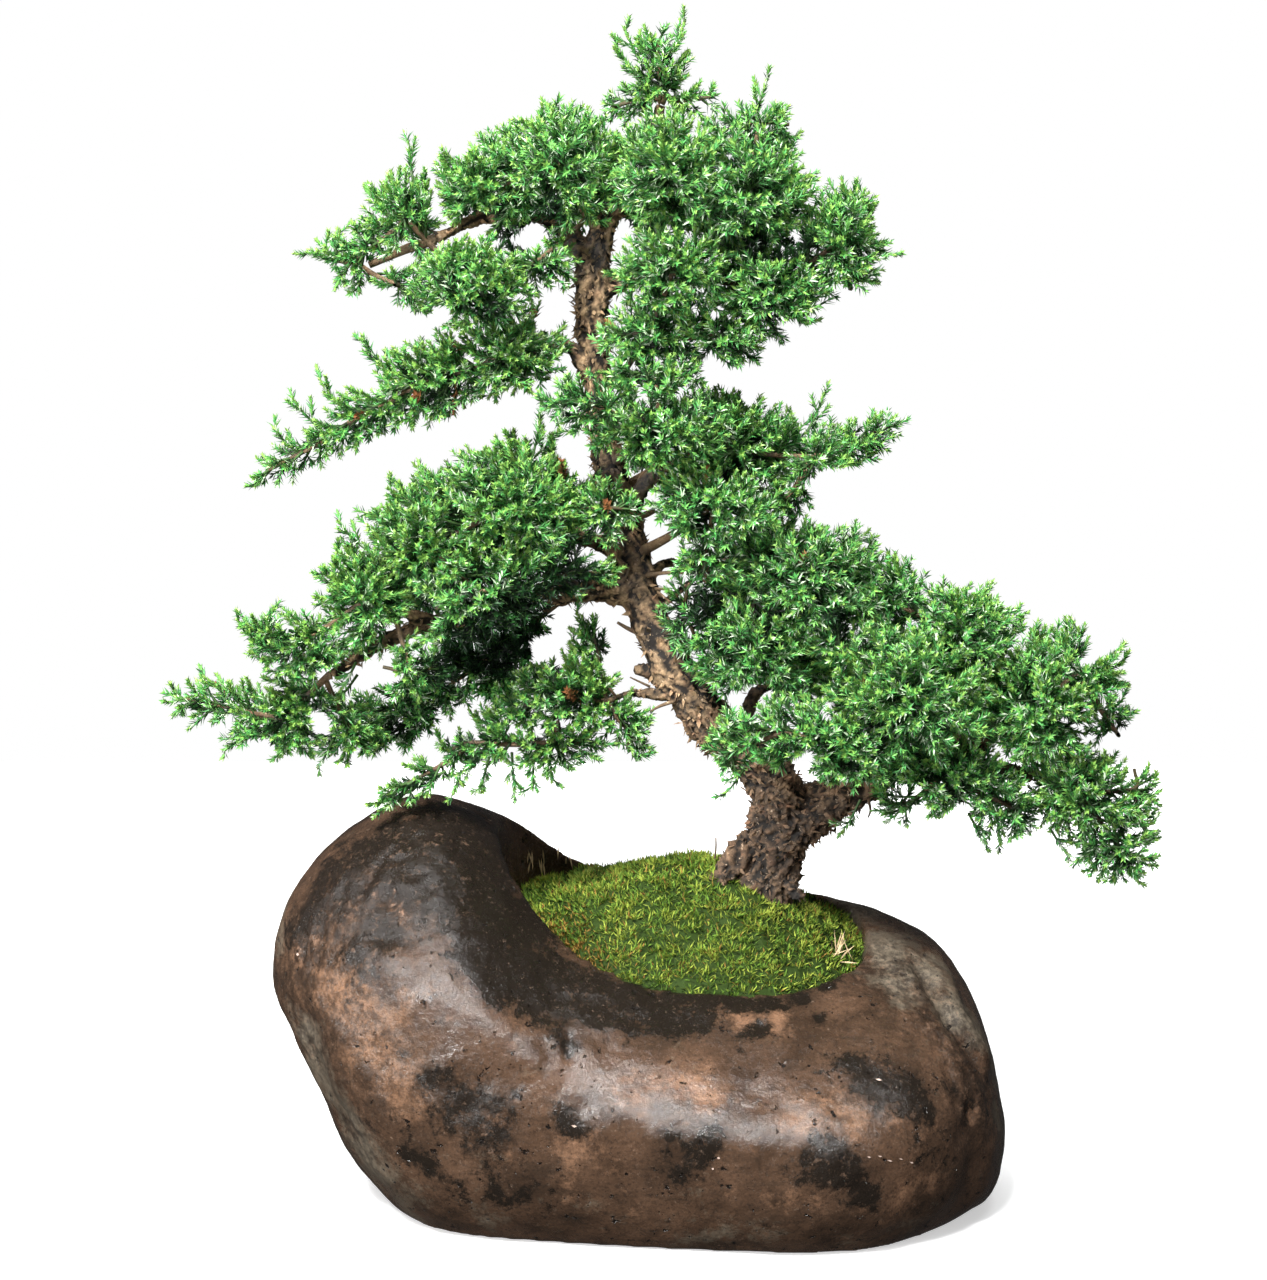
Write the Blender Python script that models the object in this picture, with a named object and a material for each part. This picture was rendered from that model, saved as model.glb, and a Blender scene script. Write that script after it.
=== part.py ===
"""Juniper bonsai with layered foliage, planted in a glazed pot shaped like a boulder.

Run with: blender --background --python part.py
The tables are in millimetres. X runs to the right, Y away from the viewer and Z up. The origin is
the middle of the pot's flat underside. The trunk, each bough and each mass of foliage is one solid.
"""
import math
import random

import bmesh
import bpy
import numpy as np
from mathutils import Matrix, Vector
from mathutils.bvhtree import BVHTree

MM = 0.001
GAP = 0.3
WELD = 1e-6
SEED = 41

# Pot: curves along X, from the left end to the right end, as (x, value)
POT_LEFT = -150.0
POT_RIGHT = 148.0
POT_RIDGE_HEIGHT = ((-150, 92), (-143, 121), (-117, 149), (-87, 161), (-57, 151), (-28, 132), (10, 120),
                    (45, 118), (78, 112), (106, 106), (130, 90), (148, 24))
POT_RIDGE_SETBACK = ((-150, 0), (-84, 10), (-30, 28), (30, 34), (80, 34), (116, 24), (148, 0))
POT_WAIST_HEIGHT = ((-150, 92), (-114, 80), (-50, 58), (30, 46), (100, 40), (148, 24))
POT_KEEL_HEIGHT = ((-150, 92), (-143, 72), (-129, 43), (-116, 16), (-99, -3), (-70, -20), (0, -27),
                   (80, -27), (110, -14), (130, -5), (141, 0), (148, 24))
POT_FRONT = ((-150, 0), (-142, -27), (-114, -61), (-78, -79), (-25, -89), (24, -94), (75, -95), (109, -84),
             (137, -52), (148, 0))
POT_BACK = ((-150, 0), (-142, 24), (-114, 54), (-78, 73), (-25, 85), (24, 91), (75, 89), (109, 77),
            (137, 46), (148, 0))
POT_FRONT_ROUNDNESS = ((-150, 2.0), (-84, 1.95), (-30, 1.6), (60, 1.5), (116, 1.8), (148, 2.0))
POT_BACK_ROUNDNESS = 2.2
POT_KEEL_ROUNDNESS = 2.5
POT_RINGS = 24
POT_SIDES = 21

# Planting pocket: a rounded opening that narrows towards its floor
POCKET_CENTRE = (20.5, 5.0)
POCKET_HALF = (71.5, 50.0)
POCKET_ROUNDNESS = 2.4
POCKET_FLOOR = 22.0
POCKET_FLOOR_SCALE = 0.8
POCKET_RIM = 105.0
POCKET_CUT_TOP = 200.0
POCKET_SIDES = 20

# Ground: a mound of moss that rises from the rim to a crest behind the trunk
CREST = (24.0, 18.0, 135.0)
RIM_LEVEL = 106.0
RIM_RISE_TO_BACK = 0.30
RIM_FALL_TO_RIGHT = 0.09
MOUND_ROUNDNESS = 1.6
MOSS_AT_CREST = 10.0
MOSS_AT_RIM = 7.0
GROUND_RINGS = 4

# Trunk: stations from the ground to the tip, as (x, y, z, radius)
TRUNK_STATIONS = (
    (50, 12, 107, 14.2), (51, 12, 122, 12.4), (56, 10, 142, 11.8), (57, 8, 157, 11.0), (52, 5, 171, 9.6),
    (35, 2, 187, 8.3), (20, -1, 206, 8.1), (9, 0, 226, 7.9), (1, 3, 243, 7.7), (-5, 6, 265, 8.0),
    (-10, 7, 287, 6.9), (-14, 6, 307, 6.1), (-17, 4, 332, 5.5), (-19, 3, 366, 6.9), (-16, 3, 387, 5.0),
    (-7, 2, 404, 3.7), (2, 1, 421, 2.7), (8, 1, 439, 1.8))
TRUNK_RINGS = 30
TRUNK_SIDES = 11
FLARE_HEIGHT = 20.0
FLARE_SPREAD = 0.22
FLARE_RIDGES = 5
FLARE_VALLEY = 0.35
FLARE_TURN = 0.4
SEAT_RADIUS = 19.0
SEAT_LIP = 0.8
SEAT_DEPTH = 40.0
SEAT_SIDES = 14

# Boughs: name, the limb that carries it, radius at its foot and tip, and the route to its tip
BOUGHS = (
    ("bough_right", "trunk", 10.6, 2.6, ((85, 8, 165), (107, 3, 177), (135, 0, 176), (158, -4, 173))),
    ("bough_right_heart", "bough_right", 4.2, 2.6, ((99, -6, 185), (101, -10, 194))),
    ("bough_right_rise", "bough_right", 4.4, 2.4, ((108, 14, 186), (116, 14, 209))),
    ("bough_right_outer", "bough_right", 4.0, 2.6, ((138, 4, 185), (149, 0, 193))),
    ("bough_right_under", "bough_right", 2.8, 1.8, ((114, -7, 171), (117, -14, 173))),
    ("bough_right_front", "bough_right", 3.6, 2.0, ((83, -14, 177), (79, -26, 184))),
    ("bough_back_right", "bough_right", 4.0, 2.6, ((131, 20, 181), (128, 36, 188))),
    ("bough_back_low", "trunk", 3.2, 2.2, ((45, 18, 200), (54, 24, 206))),
    ("bough_mid", "trunk", 4.4, 2.8, ((24, -4, 254), (42, -6, 252))),
    ("bough_back_high", "trunk", 4.0, 2.6, ((12, 22, 256), (37, 40, 247))),
    ("bough_mid_right", "trunk", 3.6, 2.2, ((6, 4, 295), (21, 0, 301))),
    ("bough_crown_right", "trunk", 3.8, 2.2, ((4, 2, 375), (30, -4, 371))),
    ("bough_crown_left", "trunk", 4.0, 1.9, ((-39, 8, 396), (-63, 4, 395), (-80, -4, 387))),
    ("bough_tier", "trunk", 2.8, 2.0, ((-28, 0, 345), (-36, -2, 344))),
    ("bough_left", "trunk", 5.6, 2.2, ((-32, -4, 249), (-64, -8, 240), (-95, -12, 232), (-122, -14, 216))),
    ("bough_left_up", "bough_left", 2.8, 2.0, ((-91, -15, 240), (-96, -18, 245))),
    ("bough_left_rear", "bough_left", 4.6, 3.0, ((-24, 8, 247), (-32, 18, 241))),
    ("bough_back_left", "trunk", 4.4, 2.6, ((-20, 26, 265), (-33, 38, 265))),
    ("bough_low", "trunk", 2.4, 1.6, ((-1, -6, 207), (-11, -12, 206))),
)
BOUGH_STEP = 12.0
BOUGH_SIDES_THICK = 7
BOUGH_SIDES_THIN = 6
THICK_BOUGH = 4.0
FEWEST_BOUGH_RINGS = 4
TAPER_POWER = 0.8
COLLAR = 0.25
COLLAR_FADE = 4

# Masses of foliage: name, the limb that carries it, and its lobes. A lobe is a rounded space given
# by its centre (x, y, z), half-sizes (along, across, up), tilt in degrees, and the share of its
# half-size that a core of dense leaves fills: 0 where sprays stand in a fan on a bare twig.
MASSES = (
    ("leader", "trunk_tip", (
        (7, 0, 454, 13, 13, 16, 0, 0.55),
        (-4, 0, 440, 13, 12, 9, 20, 0),
        (21, 2, 441, 12, 10, 8, 10, 0))),
    ("crown_left", "trunk", (
        (-31, -6, 415, 27, 32, 25, 0, 0.76),
        (-61, -6, 407, 21, 26, 21, 12, 0.74),
        (-40, -16, 379, 15, 18, 13, 10, 0.60))),
    ("crown_left_end", "bough_crown_left", (
        (-91, -8, 395, 18, 20, 20, 15, 0.70),
        (-112, -10, 379, 16, 15, 14, -10, 0),
        (-95, -14, 370, 13, 14, 12, 0, 0.50),
        (-64, -26, 370, 24, 24, 19, 5, 0.70))),
    ("crown_right", "trunk", (
        (11, -18, 412, 26, 30, 25, 0, 0.74),
        (42, -8, 407, 26, 34, 27, 0, 0.76),
        (46, -4, 430, 22, 16, 11, 6, 0.55))),
    ("crown_right_end", "bough_crown_right", (
        (49, -12, 368, 23, 26, 21, 10, 0.74),
        (78, -4, 386, 18, 28, 24, -10, 0.74),
        (82, -6, 369, 12, 18, 12, 0, 0.50))),
    ("crown_right_under", "trunk", (
        (3, -16, 350, 20, 20, 14, 0, 0.70),
        (13, -30, 377, 24, 20, 19, 0, 0.68),
        (31, -16, 350, 19, 20, 13, -5, 0.70))),
    ("tier_left", "bough_tier", (
        (-53, -6, 342, 25, 26, 18, 20, 0.70),
        (-84, -10, 332, 25, 22, 17, 22, 0.66),
        (-112, -12, 317, 19, 16, 12, 30, 0.50),
        (-137, -14, 302, 20, 10, 9, 28, 0))),
    ("mid_front", "trunk", (
        (8, -28, 316, 27, 26, 19, 0, 0.74),
        (-22, -34, 326, 17, 14, 12, 0, 0.60),
        (6, -26, 335, 23, 18, 11, 0, 0.66))),
    ("mid_right", "bough_mid_right", (
        (37, -4, 305, 25, 30, 24, 0, 0.74),
        (68, -8, 302, 21, 22, 15, 12, 0.70),
        (90, -8, 310, 15, 13, 9, 30, 0),
        (58, -10, 286, 13, 14, 9, 0, 0.55))),
    ("mid_low", "trunk", (
        (29, -26, 285, 26, 24, 17, -10, 0.72),
        (25, -28, 264, 18, 14, 10, 0, 0.60))),
    ("left_dome", "trunk", (
        (-50, -16, 284, 34, 36, 28, 15, 0.78),
        (-83, -18, 269, 27, 32, 29, 20, 0.76),
        (-62, -36, 252, 34, 24, 20, 20, 0.72),
        (-26, -30, 259, 18, 14, 11, 0, 0.60))),
    ("left_collar", "trunk", (
        (-14, -30, 284, 14, 14, 14, 0, 0.50),)),
    ("left_shoulder", "bough_left_up", (
        (-105, -22, 249, 23, 26, 24, 10, 0.74),
        (-136, -24, 229, 27, 18, 15, -25, 0.66),
        (-90, -32, 222, 19, 16, 13, 0, 0.60))),
    ("left_end", "bough_left", (
        (-141, -16, 199, 27, 22, 17, -5, 0.70),
        (-170, -16, 205, 20, 12, 10, -8, 0),
        (-116, -6, 193, 15, 16, 14, 0, 0.60))),
    ("left_rear", "bough_left_rear", (
        (-57, 22, 220, 27, 26, 21, 30, 0.72),
        (-28, 28, 240, 14, 18, 15, 40, 0.66),
        (-96, 22, 195, 26, 20, 16, 20, 0.68))),
    ("low_spray", "bough_low", (
        (-32, -14, 207, 26, 24, 19, 15, 0.70),
        (-34, -16, 189, 23, 16, 11, 5, 0.50),
        (-5, -14, 194, 12, 14, 15, 0, 0),
        (-18, -10, 228, 10, 12, 12, 70, 0),
        (-66, -16, 189, 20, 16, 13, 20, 0.50),
        (-90, -18, 174, 17, 10, 8, 25, 0))),
    ("right_upper", "bough_mid", (
        (65, -10, 256, 33, 36, 26, -10, 0.76),
        (44, -14, 229, 28, 30, 25, 0, 0.76),
        (20, -10, 240, 12, 16, 17, 10, 0))),
    ("right_crest", "bough_right_rise", (
        (127, 0, 232, 28, 34, 20, -10, 0.76),
        (98, 4, 244, 18, 24, 17, 0, 0.72))),
    ("right_heart", "bough_right_heart", (
        (104, -24, 211, 34, 40, 30, -10, 0.76),
        (80, -26, 229, 16, 20, 12, 0, 0.60))),
    ("right_outer", "bough_right_outer", (
        (158, -8, 205, 28, 36, 28, -10, 0.76),
        (175, -4, 215, 19, 26, 20, -10, 0.72),
        (190, -6, 192, 10, 16, 14, 0, 0.60))),
    ("right_end", "bough_right", (
        (176, -8, 168, 26, 28, 20, -15, 0.74),
        (191, -10, 147, 17, 18, 17, -20, 0.60),
        (198, -6, 168, 12, 14, 15, 0, 0.60))),
    ("right_under", "bough_right_under", (
        (122, -18, 177, 31, 24, 17, -10, 0.70),
        (147, -14, 163, 17, 18, 13, -10, 0.60),
        (106, -16, 164, 13, 14, 10, 0, 0.50))),
    ("right_front", "bough_right_front", (
        (82, -40, 193, 20, 20, 17, 0, 0.70),
        (56, -40, 198, 26, 18, 15, 0, 0.70),
        (37, -36, 191, 11, 12, 13, 0, 0))),
    ("back_crown", "trunk", (
        (0, 40, 405, 34, 28, 23, 0, 0.78),
        (42, 38, 393, 20, 26, 21, 0, 0.74),
        (-44, 34, 405, 20, 22, 20, 0, 0.74))),
    ("back_mid", "trunk", (
        (21, 44, 304, 27, 28, 19, 0, 0.76),
        (51, 38, 300, 15, 22, 15, 0, 0.70))),
    ("back_left", "bough_back_left", (
        (-56, 50, 266, 35, 30, 23, 15, 0.78),
        (-89, 44, 250, 21, 26, 19, 20, 0.72))),
    ("back_right_high", "bough_back_high", (
        (58, 54, 242, 33, 32, 24, -10, 0.78),)),
    ("back_right", "bough_back_right", (
        (119, 54, 198, 35, 32, 24, -10, 0.78),
        (158, 48, 195, 19, 26, 19, -10, 0.74))),
    ("back_low", "bough_back_low", (
        (66, 34, 212, 23, 24, 18, 0, 0.72),)),
)

# Growth of a mass
STEM_RADIUS = 2.4
STEM_LEAD = 3.0
STEM_FIT = 0.95
BARK_MARGIN = 1.3
TWIG_RADIUS = 1.1
TWIG_FOOT_RADIUS = 1.4
TWIG_SIDES = 4
SPACE_MARGIN = 0.05
LIMB_CLEARANCE = 0.8
CORE_POINT = 1.08
FINE_CORE_SIZE = 13.5
CORE_LUMPS = 0.10
CORNER_EDGES = 5
SMALL_CORE_POINTS = 0.5
CORE_TURNS = ((1, 0, 0), (0, 1, 0), (1, 1, 0), (0, 1, 1))
CORE_LEAST = 0.2
CORE_STEPS = 17
CORE_SHRINK = 0.93
CORE_TRIES = 8
SPRAY_SPACING = 50.0
SPRAY_FEWEST = 4
ROOT_SUNK = 5.0
SPRAY_SWEEP = 3.0
SPRAY_SUNK_SHARE = 0.35
SPRAY_SHORTEST = 9.0
CORE_SPRAY_TEETH = 1
FAN_SPRAY_TEETH = 2
SPRAY_WIDTH_SHARE = 0.8
SPRAY_WIDEST = 18.0
SPRAY_REACHES = (1.22, 1.08, 0.94)
REACH_VARIATION = (0.96, 1.04)
SPRAY_LEAN = 0.7
BURIED_DEPTH = 0.85
FAN = ((0.0, 0.2), (math.radians(38), 0.2), (math.radians(-38), 0.2), (math.radians(82), 0.9),
       (math.radians(-82), 0.9))
FAN_LENGTH = 0.5
FAN_DEPTH = 0.25
FAN_ROLL = 0.5
BLADE_THICKNESS = 2.8
BLADE_VARIATION = (0.85, 1.1)
BLADE_TIP = 0.33
BLADE_BELLY = 0.75
BLADE_NOTCH = 0.45
BLADE_WAIST = 0.45
BLADE_RIDGE = 0.9
GOLDEN_ANGLE = math.pi * (3.0 - math.sqrt(5.0))

FINISHES = {
    "glazed_pot": ((0.090, 0.052, 0.036), 0.28),
    "soil": ((0.060, 0.042, 0.028), 0.95),
    "moss": ((0.150, 0.185, 0.035), 0.95),
    "bark": ((0.155, 0.098, 0.068), 0.90),
    "foliage": ((0.110, 0.235, 0.060), 0.60),
}


def clear_scene():
    for obj in list(bpy.data.objects):
        bpy.data.objects.remove(obj, do_unlink=True)


def make_material(name):
    colour, roughness = FINISHES[name]
    material = bpy.data.materials.new(name)
    material.use_nodes = True
    shader = material.node_tree.nodes["Principled BSDF"]
    shader.inputs["Base Color"].default_value = (*colour, 1.0)
    shader.inputs["Roughness"].default_value = roughness
    shader.inputs["Metallic"].default_value = 0.0
    return material


def make_object(name, points, faces):
    """A mesh object from points in millimetres."""
    mesh = bpy.data.meshes.new(name)
    mesh.from_pydata([tuple(MM * c for c in point) for point in points], [], faces)
    mesh.update()
    obj = bpy.data.objects.new(name, mesh)
    bpy.context.scene.collection.objects.link(obj)
    return obj


def discard(obj):
    mesh = obj.data
    bpy.data.objects.remove(obj, do_unlink=True)
    bpy.data.meshes.remove(mesh)


def finish(obj, material, smooth_angle=None):
    obj.data.materials.clear()
    obj.data.materials.append(material)
    if smooth_angle is not None:
        obj.data.shade_smooth()
        obj.data.set_sharp_from_angle(angle=math.radians(smooth_angle))
    return obj


# Booleans

def sound(mesh):
    """Split a Boolean's result into triangles, weld its points, and tell whether it is still closed."""
    work = bmesh.new()
    work.from_mesh(mesh)
    bmesh.ops.triangulate(work, faces=work.faces)
    bmesh.ops.remove_doubles(work, verts=work.verts, dist=WELD)
    closed = len(work.faces) > 3 and all(edge.is_manifold for edge in work.edges)
    closed = closed and work.calc_volume() > 0.0
    work.to_mesh(mesh)
    work.free()
    return closed


def boolean_result(obj, operation, other, solver):
    """The mesh of a Boolean of obj with another object, or with every object of a collection."""
    modifier = obj.modifiers.new("combine", "BOOLEAN")
    modifier.operation = operation
    modifier.solver = solver
    if isinstance(other, bpy.types.Collection):
        modifier.operand_type = "COLLECTION"
        modifier.collection = other
    else:
        modifier.object = other
    depsgraph = bpy.context.evaluated_depsgraph_get()
    result = bpy.data.meshes.new_from_object(obj.evaluated_get(depsgraph))
    obj.modifiers.remove(modifier)
    return result


def combine(obj, operation, other):
    """Replace obj's mesh by a Boolean with something else. Returns whether the result is sound."""
    for solver in ("EXACT", "MANIFOLD"):
        result = boolean_result(obj, operation, other, solver)
        if sound(result):
            old = obj.data
            obj.data = result
            bpy.data.meshes.remove(old)
            return True
        bpy.data.meshes.remove(result)
    return False


def shell_volume(shell):
    volume = 0.0
    for face in shell:
        a, b, c = (vert.co for vert in face.verts)
        volume += a.dot(b.cross(c)) / 6.0
    return volume


def keep_main_body(obj):
    """Drop loose scraps and sealed hollows: only the largest connected shell stays."""
    work = bmesh.new()
    work.from_mesh(obj.data)
    bmesh.ops.triangulate(work, faces=work.faces)
    unseen = set(work.faces)
    shells = []
    while unseen:
        front = [unseen.pop()]
        shell = list(front)
        while front:
            face = front.pop()
            neighbours = {other for edge in face.edges for other in edge.link_faces}
            found = neighbours & unseen
            unseen -= found
            front.extend(found)
            shell.extend(found)
        shells.append(shell)
    shells.sort(key=shell_volume, reverse=True)
    scraps = [face for shell in shells[1:] for face in shell]
    bmesh.ops.delete(work, geom=scraps, context="FACES")
    work.to_mesh(obj.data)
    work.free()
    return obj


def fused(name, body, sprays):
    """One solid from overlapping pieces, by a Boolean union on their collection.

    Where the union of all the pieces isn't sound, it is made again without one of the sprays.
    """
    collection = bpy.data.collections.new(name + "_pieces")
    bpy.context.scene.collection.children.link(collection)
    for piece in body[1:] + sprays:
        bpy.context.scene.collection.objects.unlink(piece)
        collection.objects.link(piece)
    base = body[0]
    base.name = name
    if not combine(base, "UNION", collection):
        for spray in sprays:
            collection.objects.unlink(spray)
            if combine(base, "UNION", collection):
                break
            collection.objects.link(spray)
    for piece in body[1:] + sprays:
        discard(piece)
    bpy.data.collections.remove(collection)
    return keep_main_body(base)


def tree_of(obj):
    """Collision tree of an object's surface."""
    work = bmesh.new()
    work.from_mesh(obj.data)
    tree = BVHTree.FromBMesh(work)
    work.free()
    return tree


# Curves and tubes

def smooth_path(stations, count):
    """Points on a smooth curve through the stations, spaced evenly by station number."""
    stations = np.array(stations, dtype=float)
    padded = np.vstack([2 * stations[0] - stations[1], stations, 2 * stations[-1] - stations[-2]])
    out = []
    for position in np.linspace(0.0, len(stations) - 1.0, count):
        index = min(int(position), len(stations) - 2)
        t = position - index
        a, b, c, d = padded[index:index + 4]
        out.append(0.5 * (2 * b + (c - a) * t + (2 * a - 5 * b + 4 * c - d) * t ** 2
                          + (3 * b - a - 3 * c + d) * t ** 3))
    return np.array(out)


def profile(table, x):
    """Smooth value at x of a curve along the pot, rounded off at both ends."""
    middle = (POT_LEFT + POT_RIGHT) / 2.0
    half = (POT_RIGHT - POT_LEFT) / 2.0

    def place(position):
        return math.acos(max(-1.0, min(1.0, (middle - position) / half)))

    knots = [place(row[0]) for row in table]
    values = [row[1] for row in table]
    at = place(x)
    slopes = []
    for i in range(len(knots)):
        low = max(i - 1, 0)
        high = min(i + 1, len(knots) - 1)
        slopes.append((values[high] - values[low]) / (knots[high] - knots[low]))
    i = max(k for k in range(len(knots) - 1) if knots[k] <= at or k == 0)
    span = knots[i + 1] - knots[i]
    t = (at - knots[i]) / span
    return ((2 * t ** 3 - 3 * t ** 2 + 1) * values[i] + (t ** 3 - 2 * t ** 2 + t) * span * slopes[i]
            + (3 * t ** 2 - 2 * t ** 3) * values[i + 1] + (t ** 3 - t ** 2) * span * slopes[i + 1])


def ring_faces(rings, sides):
    """Triangles between rings, and a flat cap on the first and the last."""
    faces = [tuple(reversed(range(sides)))]
    for ring in range(rings - 1):
        for side in range(sides):
            nxt = (side + 1) % sides
            low = ring * sides
            high = low + sides
            faces.append((low + side, low + nxt, high + nxt))
            faces.append((low + side, high + nxt, high + side))
    faces.append(tuple(range((rings - 1) * sides, rings * sides)))
    return faces


def tube(name, path, radii, sides, level_foot=False, flare=None):
    """A round tube along a path, with rings square to it, and the first one level if asked."""
    path = [Vector(point) for point in path]
    across = None
    points = []
    for i, centre in enumerate(path):
        ahead = path[min(i + 1, len(path) - 1)] - path[max(i - 1, 0)]
        ahead.normalize()
        if level_foot and i == 0:
            ahead = Vector((0, 0, 1))
        if across is None:
            across = ahead.orthogonal()
        across = (across - ahead * across.dot(ahead)).normalized()
        up = ahead.cross(across)
        for side in range(sides):
            angle = 2.0 * math.pi * side / sides
            spread = 1.0 if flare is None else flare(centre.z, angle)
            points.append(centre + (across * math.cos(angle) + up * math.sin(angle)) * radii[i] * spread)
    return make_object(name, points, ring_faces(len(path), sides))


class Limb:
    """The axis and radius of a trunk or bough, and the solid round them."""

    def __init__(self, name, path, radii, sides, trunk=False):
        self.name = name
        self.path = np.array(path)
        self.radii = np.array(radii)
        self.sides = sides
        self.trunk = trunk

    def solid(self, name, swell=0.0):
        """The limb as a tube, swollen on all sides for a cutter."""
        path = self.path.copy()
        if swell:
            foot = path[0] - path[1]
            tip = path[-1] - path[-2]
            path[0] += swell * (np.array([0, 0, -1.0]) if self.trunk else foot / np.linalg.norm(foot))
            path[-1] += swell * tip / np.linalg.norm(tip)
        flare = root_flare if self.trunk else None
        return tube(name, path, self.radii + swell, self.sides, self.trunk, flare)

    def nearest(self, point):
        """Number of the path point nearest to a place."""
        return int(np.argmin(np.linalg.norm(self.path - np.array(point), axis=1)))

    def tip_direction(self):
        ahead = self.path[-1] - self.path[-2]
        return ahead / np.linalg.norm(ahead)


def root_flare(height, angle):
    """Spread of the trunk's foot into low root ridges."""
    rise = (height - TRUNK_STATIONS[0][2]) / FLARE_HEIGHT
    strength = FLARE_SPREAD * max(0.0, 1.0 - rise) ** 2
    ridge = max(0.0, math.cos(FLARE_RIDGES * angle + FLARE_TURN))
    return 1.0 + strength * (FLARE_VALLEY + (1.0 - FLARE_VALLEY) * ridge)


def grow_trunk():
    stations = smooth_path(TRUNK_STATIONS, TRUNK_RINGS)
    return Limb("trunk", stations[:, :3], stations[:, 3], TRUNK_SIDES, trunk=True)


def grow_bough(name, host, foot_radius, tip_radius, route):
    """A tapering limb that leaves its host a little below the first point of its route."""
    leave = max(0, host.nearest(route[0]) - 1)
    stations = [tuple(host.path[leave])] + list(route)
    length = sum(math.dist(a, b) for a, b in zip(stations[:-1], stations[1:]))
    rings = max(FEWEST_BOUGH_RINGS, round(length / BOUGH_STEP) + 1)
    path = smooth_path(stations, rings)
    share = np.linspace(0.0, 1.0, rings)
    radii = foot_radius + (tip_radius - foot_radius) * share ** TAPER_POWER
    radii *= 1.0 + COLLAR * (1.0 - share) ** COLLAR_FADE
    sides = BOUGH_SIDES_THICK if foot_radius > THICK_BOUGH else BOUGH_SIDES_THIN
    return Limb(name, path, radii, sides)


# Pot, soil and moss

def pot_surface(x, angle):
    """Point of the boulder's skin at length x, with angle 0 at the back and 90 degrees on top."""
    setback = profile(POT_RIDGE_SETBACK, x)
    waist = profile(POT_WAIST_HEIGHT, x)
    across = math.cos(angle)
    up = math.sin(angle)
    if across >= 0:
        reach = profile(POT_BACK, x) - setback
        roundness = POT_BACK_ROUNDNESS
    else:
        reach = setback - profile(POT_FRONT, x)
        roundness = profile(POT_FRONT_ROUNDNESS, x)
    if up >= 0:
        height = profile(POT_RIDGE_HEIGHT, x) - waist
    else:
        height = waist - profile(POT_KEEL_HEIGHT, x)
        roundness = POT_KEEL_ROUNDNESS
    power = 2.0 / roundness
    y = setback + math.copysign(abs(across) ** power, across) * reach
    z = waist + math.copysign(abs(up) ** power, up) * height
    return (x, y, z)


def make_boulder():
    middle = (POT_LEFT + POT_RIGHT) / 2.0
    half = (POT_RIGHT - POT_LEFT) / 2.0
    points = []
    for ring in range(1, POT_RINGS):
        x = middle - half * math.cos(math.pi * ring / POT_RINGS)
        for side in range(POT_SIDES):
            points.append(pot_surface(x, 2.0 * math.pi * side / POT_SIDES))
    faces = ring_faces(POT_RINGS - 1, POT_SIDES)[1:-1]
    left = len(points)
    points.append((POT_LEFT, 0.0, POT_WAIST_HEIGHT[0][1]))
    right = len(points)
    points.append((POT_RIGHT, 0.0, POT_WAIST_HEIGHT[-1][1]))
    last = (POT_RINGS - 2) * POT_SIDES
    for side in range(POT_SIDES):
        nxt = (side + 1) % POT_SIDES
        faces.append((left, nxt, side))
        faces.append((right, last + side, last + nxt))
    return make_object("pot", points, faces)


def flatten_underside(obj):
    """Cut the boulder level at its base and close the cut."""
    work = bmesh.new()
    work.from_mesh(obj.data)
    parts = work.verts[:] + work.edges[:] + work.faces[:]
    cut = bmesh.ops.bisect_plane(work, geom=parts, plane_co=(0, 0, 0), plane_no=(0, 0, 1), clear_inner=True)
    rim = [part for part in cut["geom_cut"] if isinstance(part, bmesh.types.BMEdge)]
    bmesh.ops.contextual_create(work, geom=rim)
    bmesh.ops.recalc_face_normals(work, faces=work.faces)
    work.to_mesh(obj.data)
    work.free()


def pocket_edge(angle, height, inset):
    """Point on the pocket's wall at a height, or that far inside the wall."""
    share = (height - POCKET_FLOOR) / (POCKET_RIM - POCKET_FLOOR)
    scale = POCKET_FLOOR_SCALE + (1.0 - POCKET_FLOOR_SCALE) * share
    power = 2.0 / POCKET_ROUNDNESS
    c = math.cos(angle)
    s = math.sin(angle)
    x = POCKET_CENTRE[0] + (POCKET_HALF[0] * scale - inset) * math.copysign(abs(c) ** power, c)
    y = POCKET_CENTRE[1] + (POCKET_HALF[1] * scale - inset) * math.copysign(abs(s) ** power, s)
    return (x, y, height)


def pocket_ring(height, inset):
    """Points all round the pocket's wall at a height."""
    return [pocket_edge(2.0 * math.pi * side / POCKET_SIDES, height, inset) for side in range(POCKET_SIDES)]


def rim_height(x, y):
    return RIM_LEVEL + RIM_RISE_TO_BACK * y - RIM_FALL_TO_RIGHT * x


def ground_grid(depth_at_crest, depth_at_rim, inset):
    """Rings of points from the pocket's wall to the crest, that far below the moss's surface."""
    rings = []
    for step in range(GROUND_RINGS):
        share = 1.0 - step / GROUND_RINGS
        ring = []
        for side in range(POCKET_SIDES):
            angle = 2.0 * math.pi * side / POCKET_SIDES
            flat = pocket_edge(angle, POCKET_RIM, inset)
            height = rim_height(flat[0], flat[1]) - depth_at_rim
            wall = pocket_edge(angle, height, inset)
            crest = CREST[2] - depth_at_crest
            x = CREST[0] + (wall[0] - CREST[0]) * share
            y = CREST[1] + (wall[1] - CREST[1]) * share
            z = height + (crest - height) * (1.0 - share ** MOUND_ROUNDNESS)
            ring.append((x, y, z))
        rings.append(ring)
    return rings, (CREST[0], CREST[1], CREST[2] - depth_at_crest)


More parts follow.
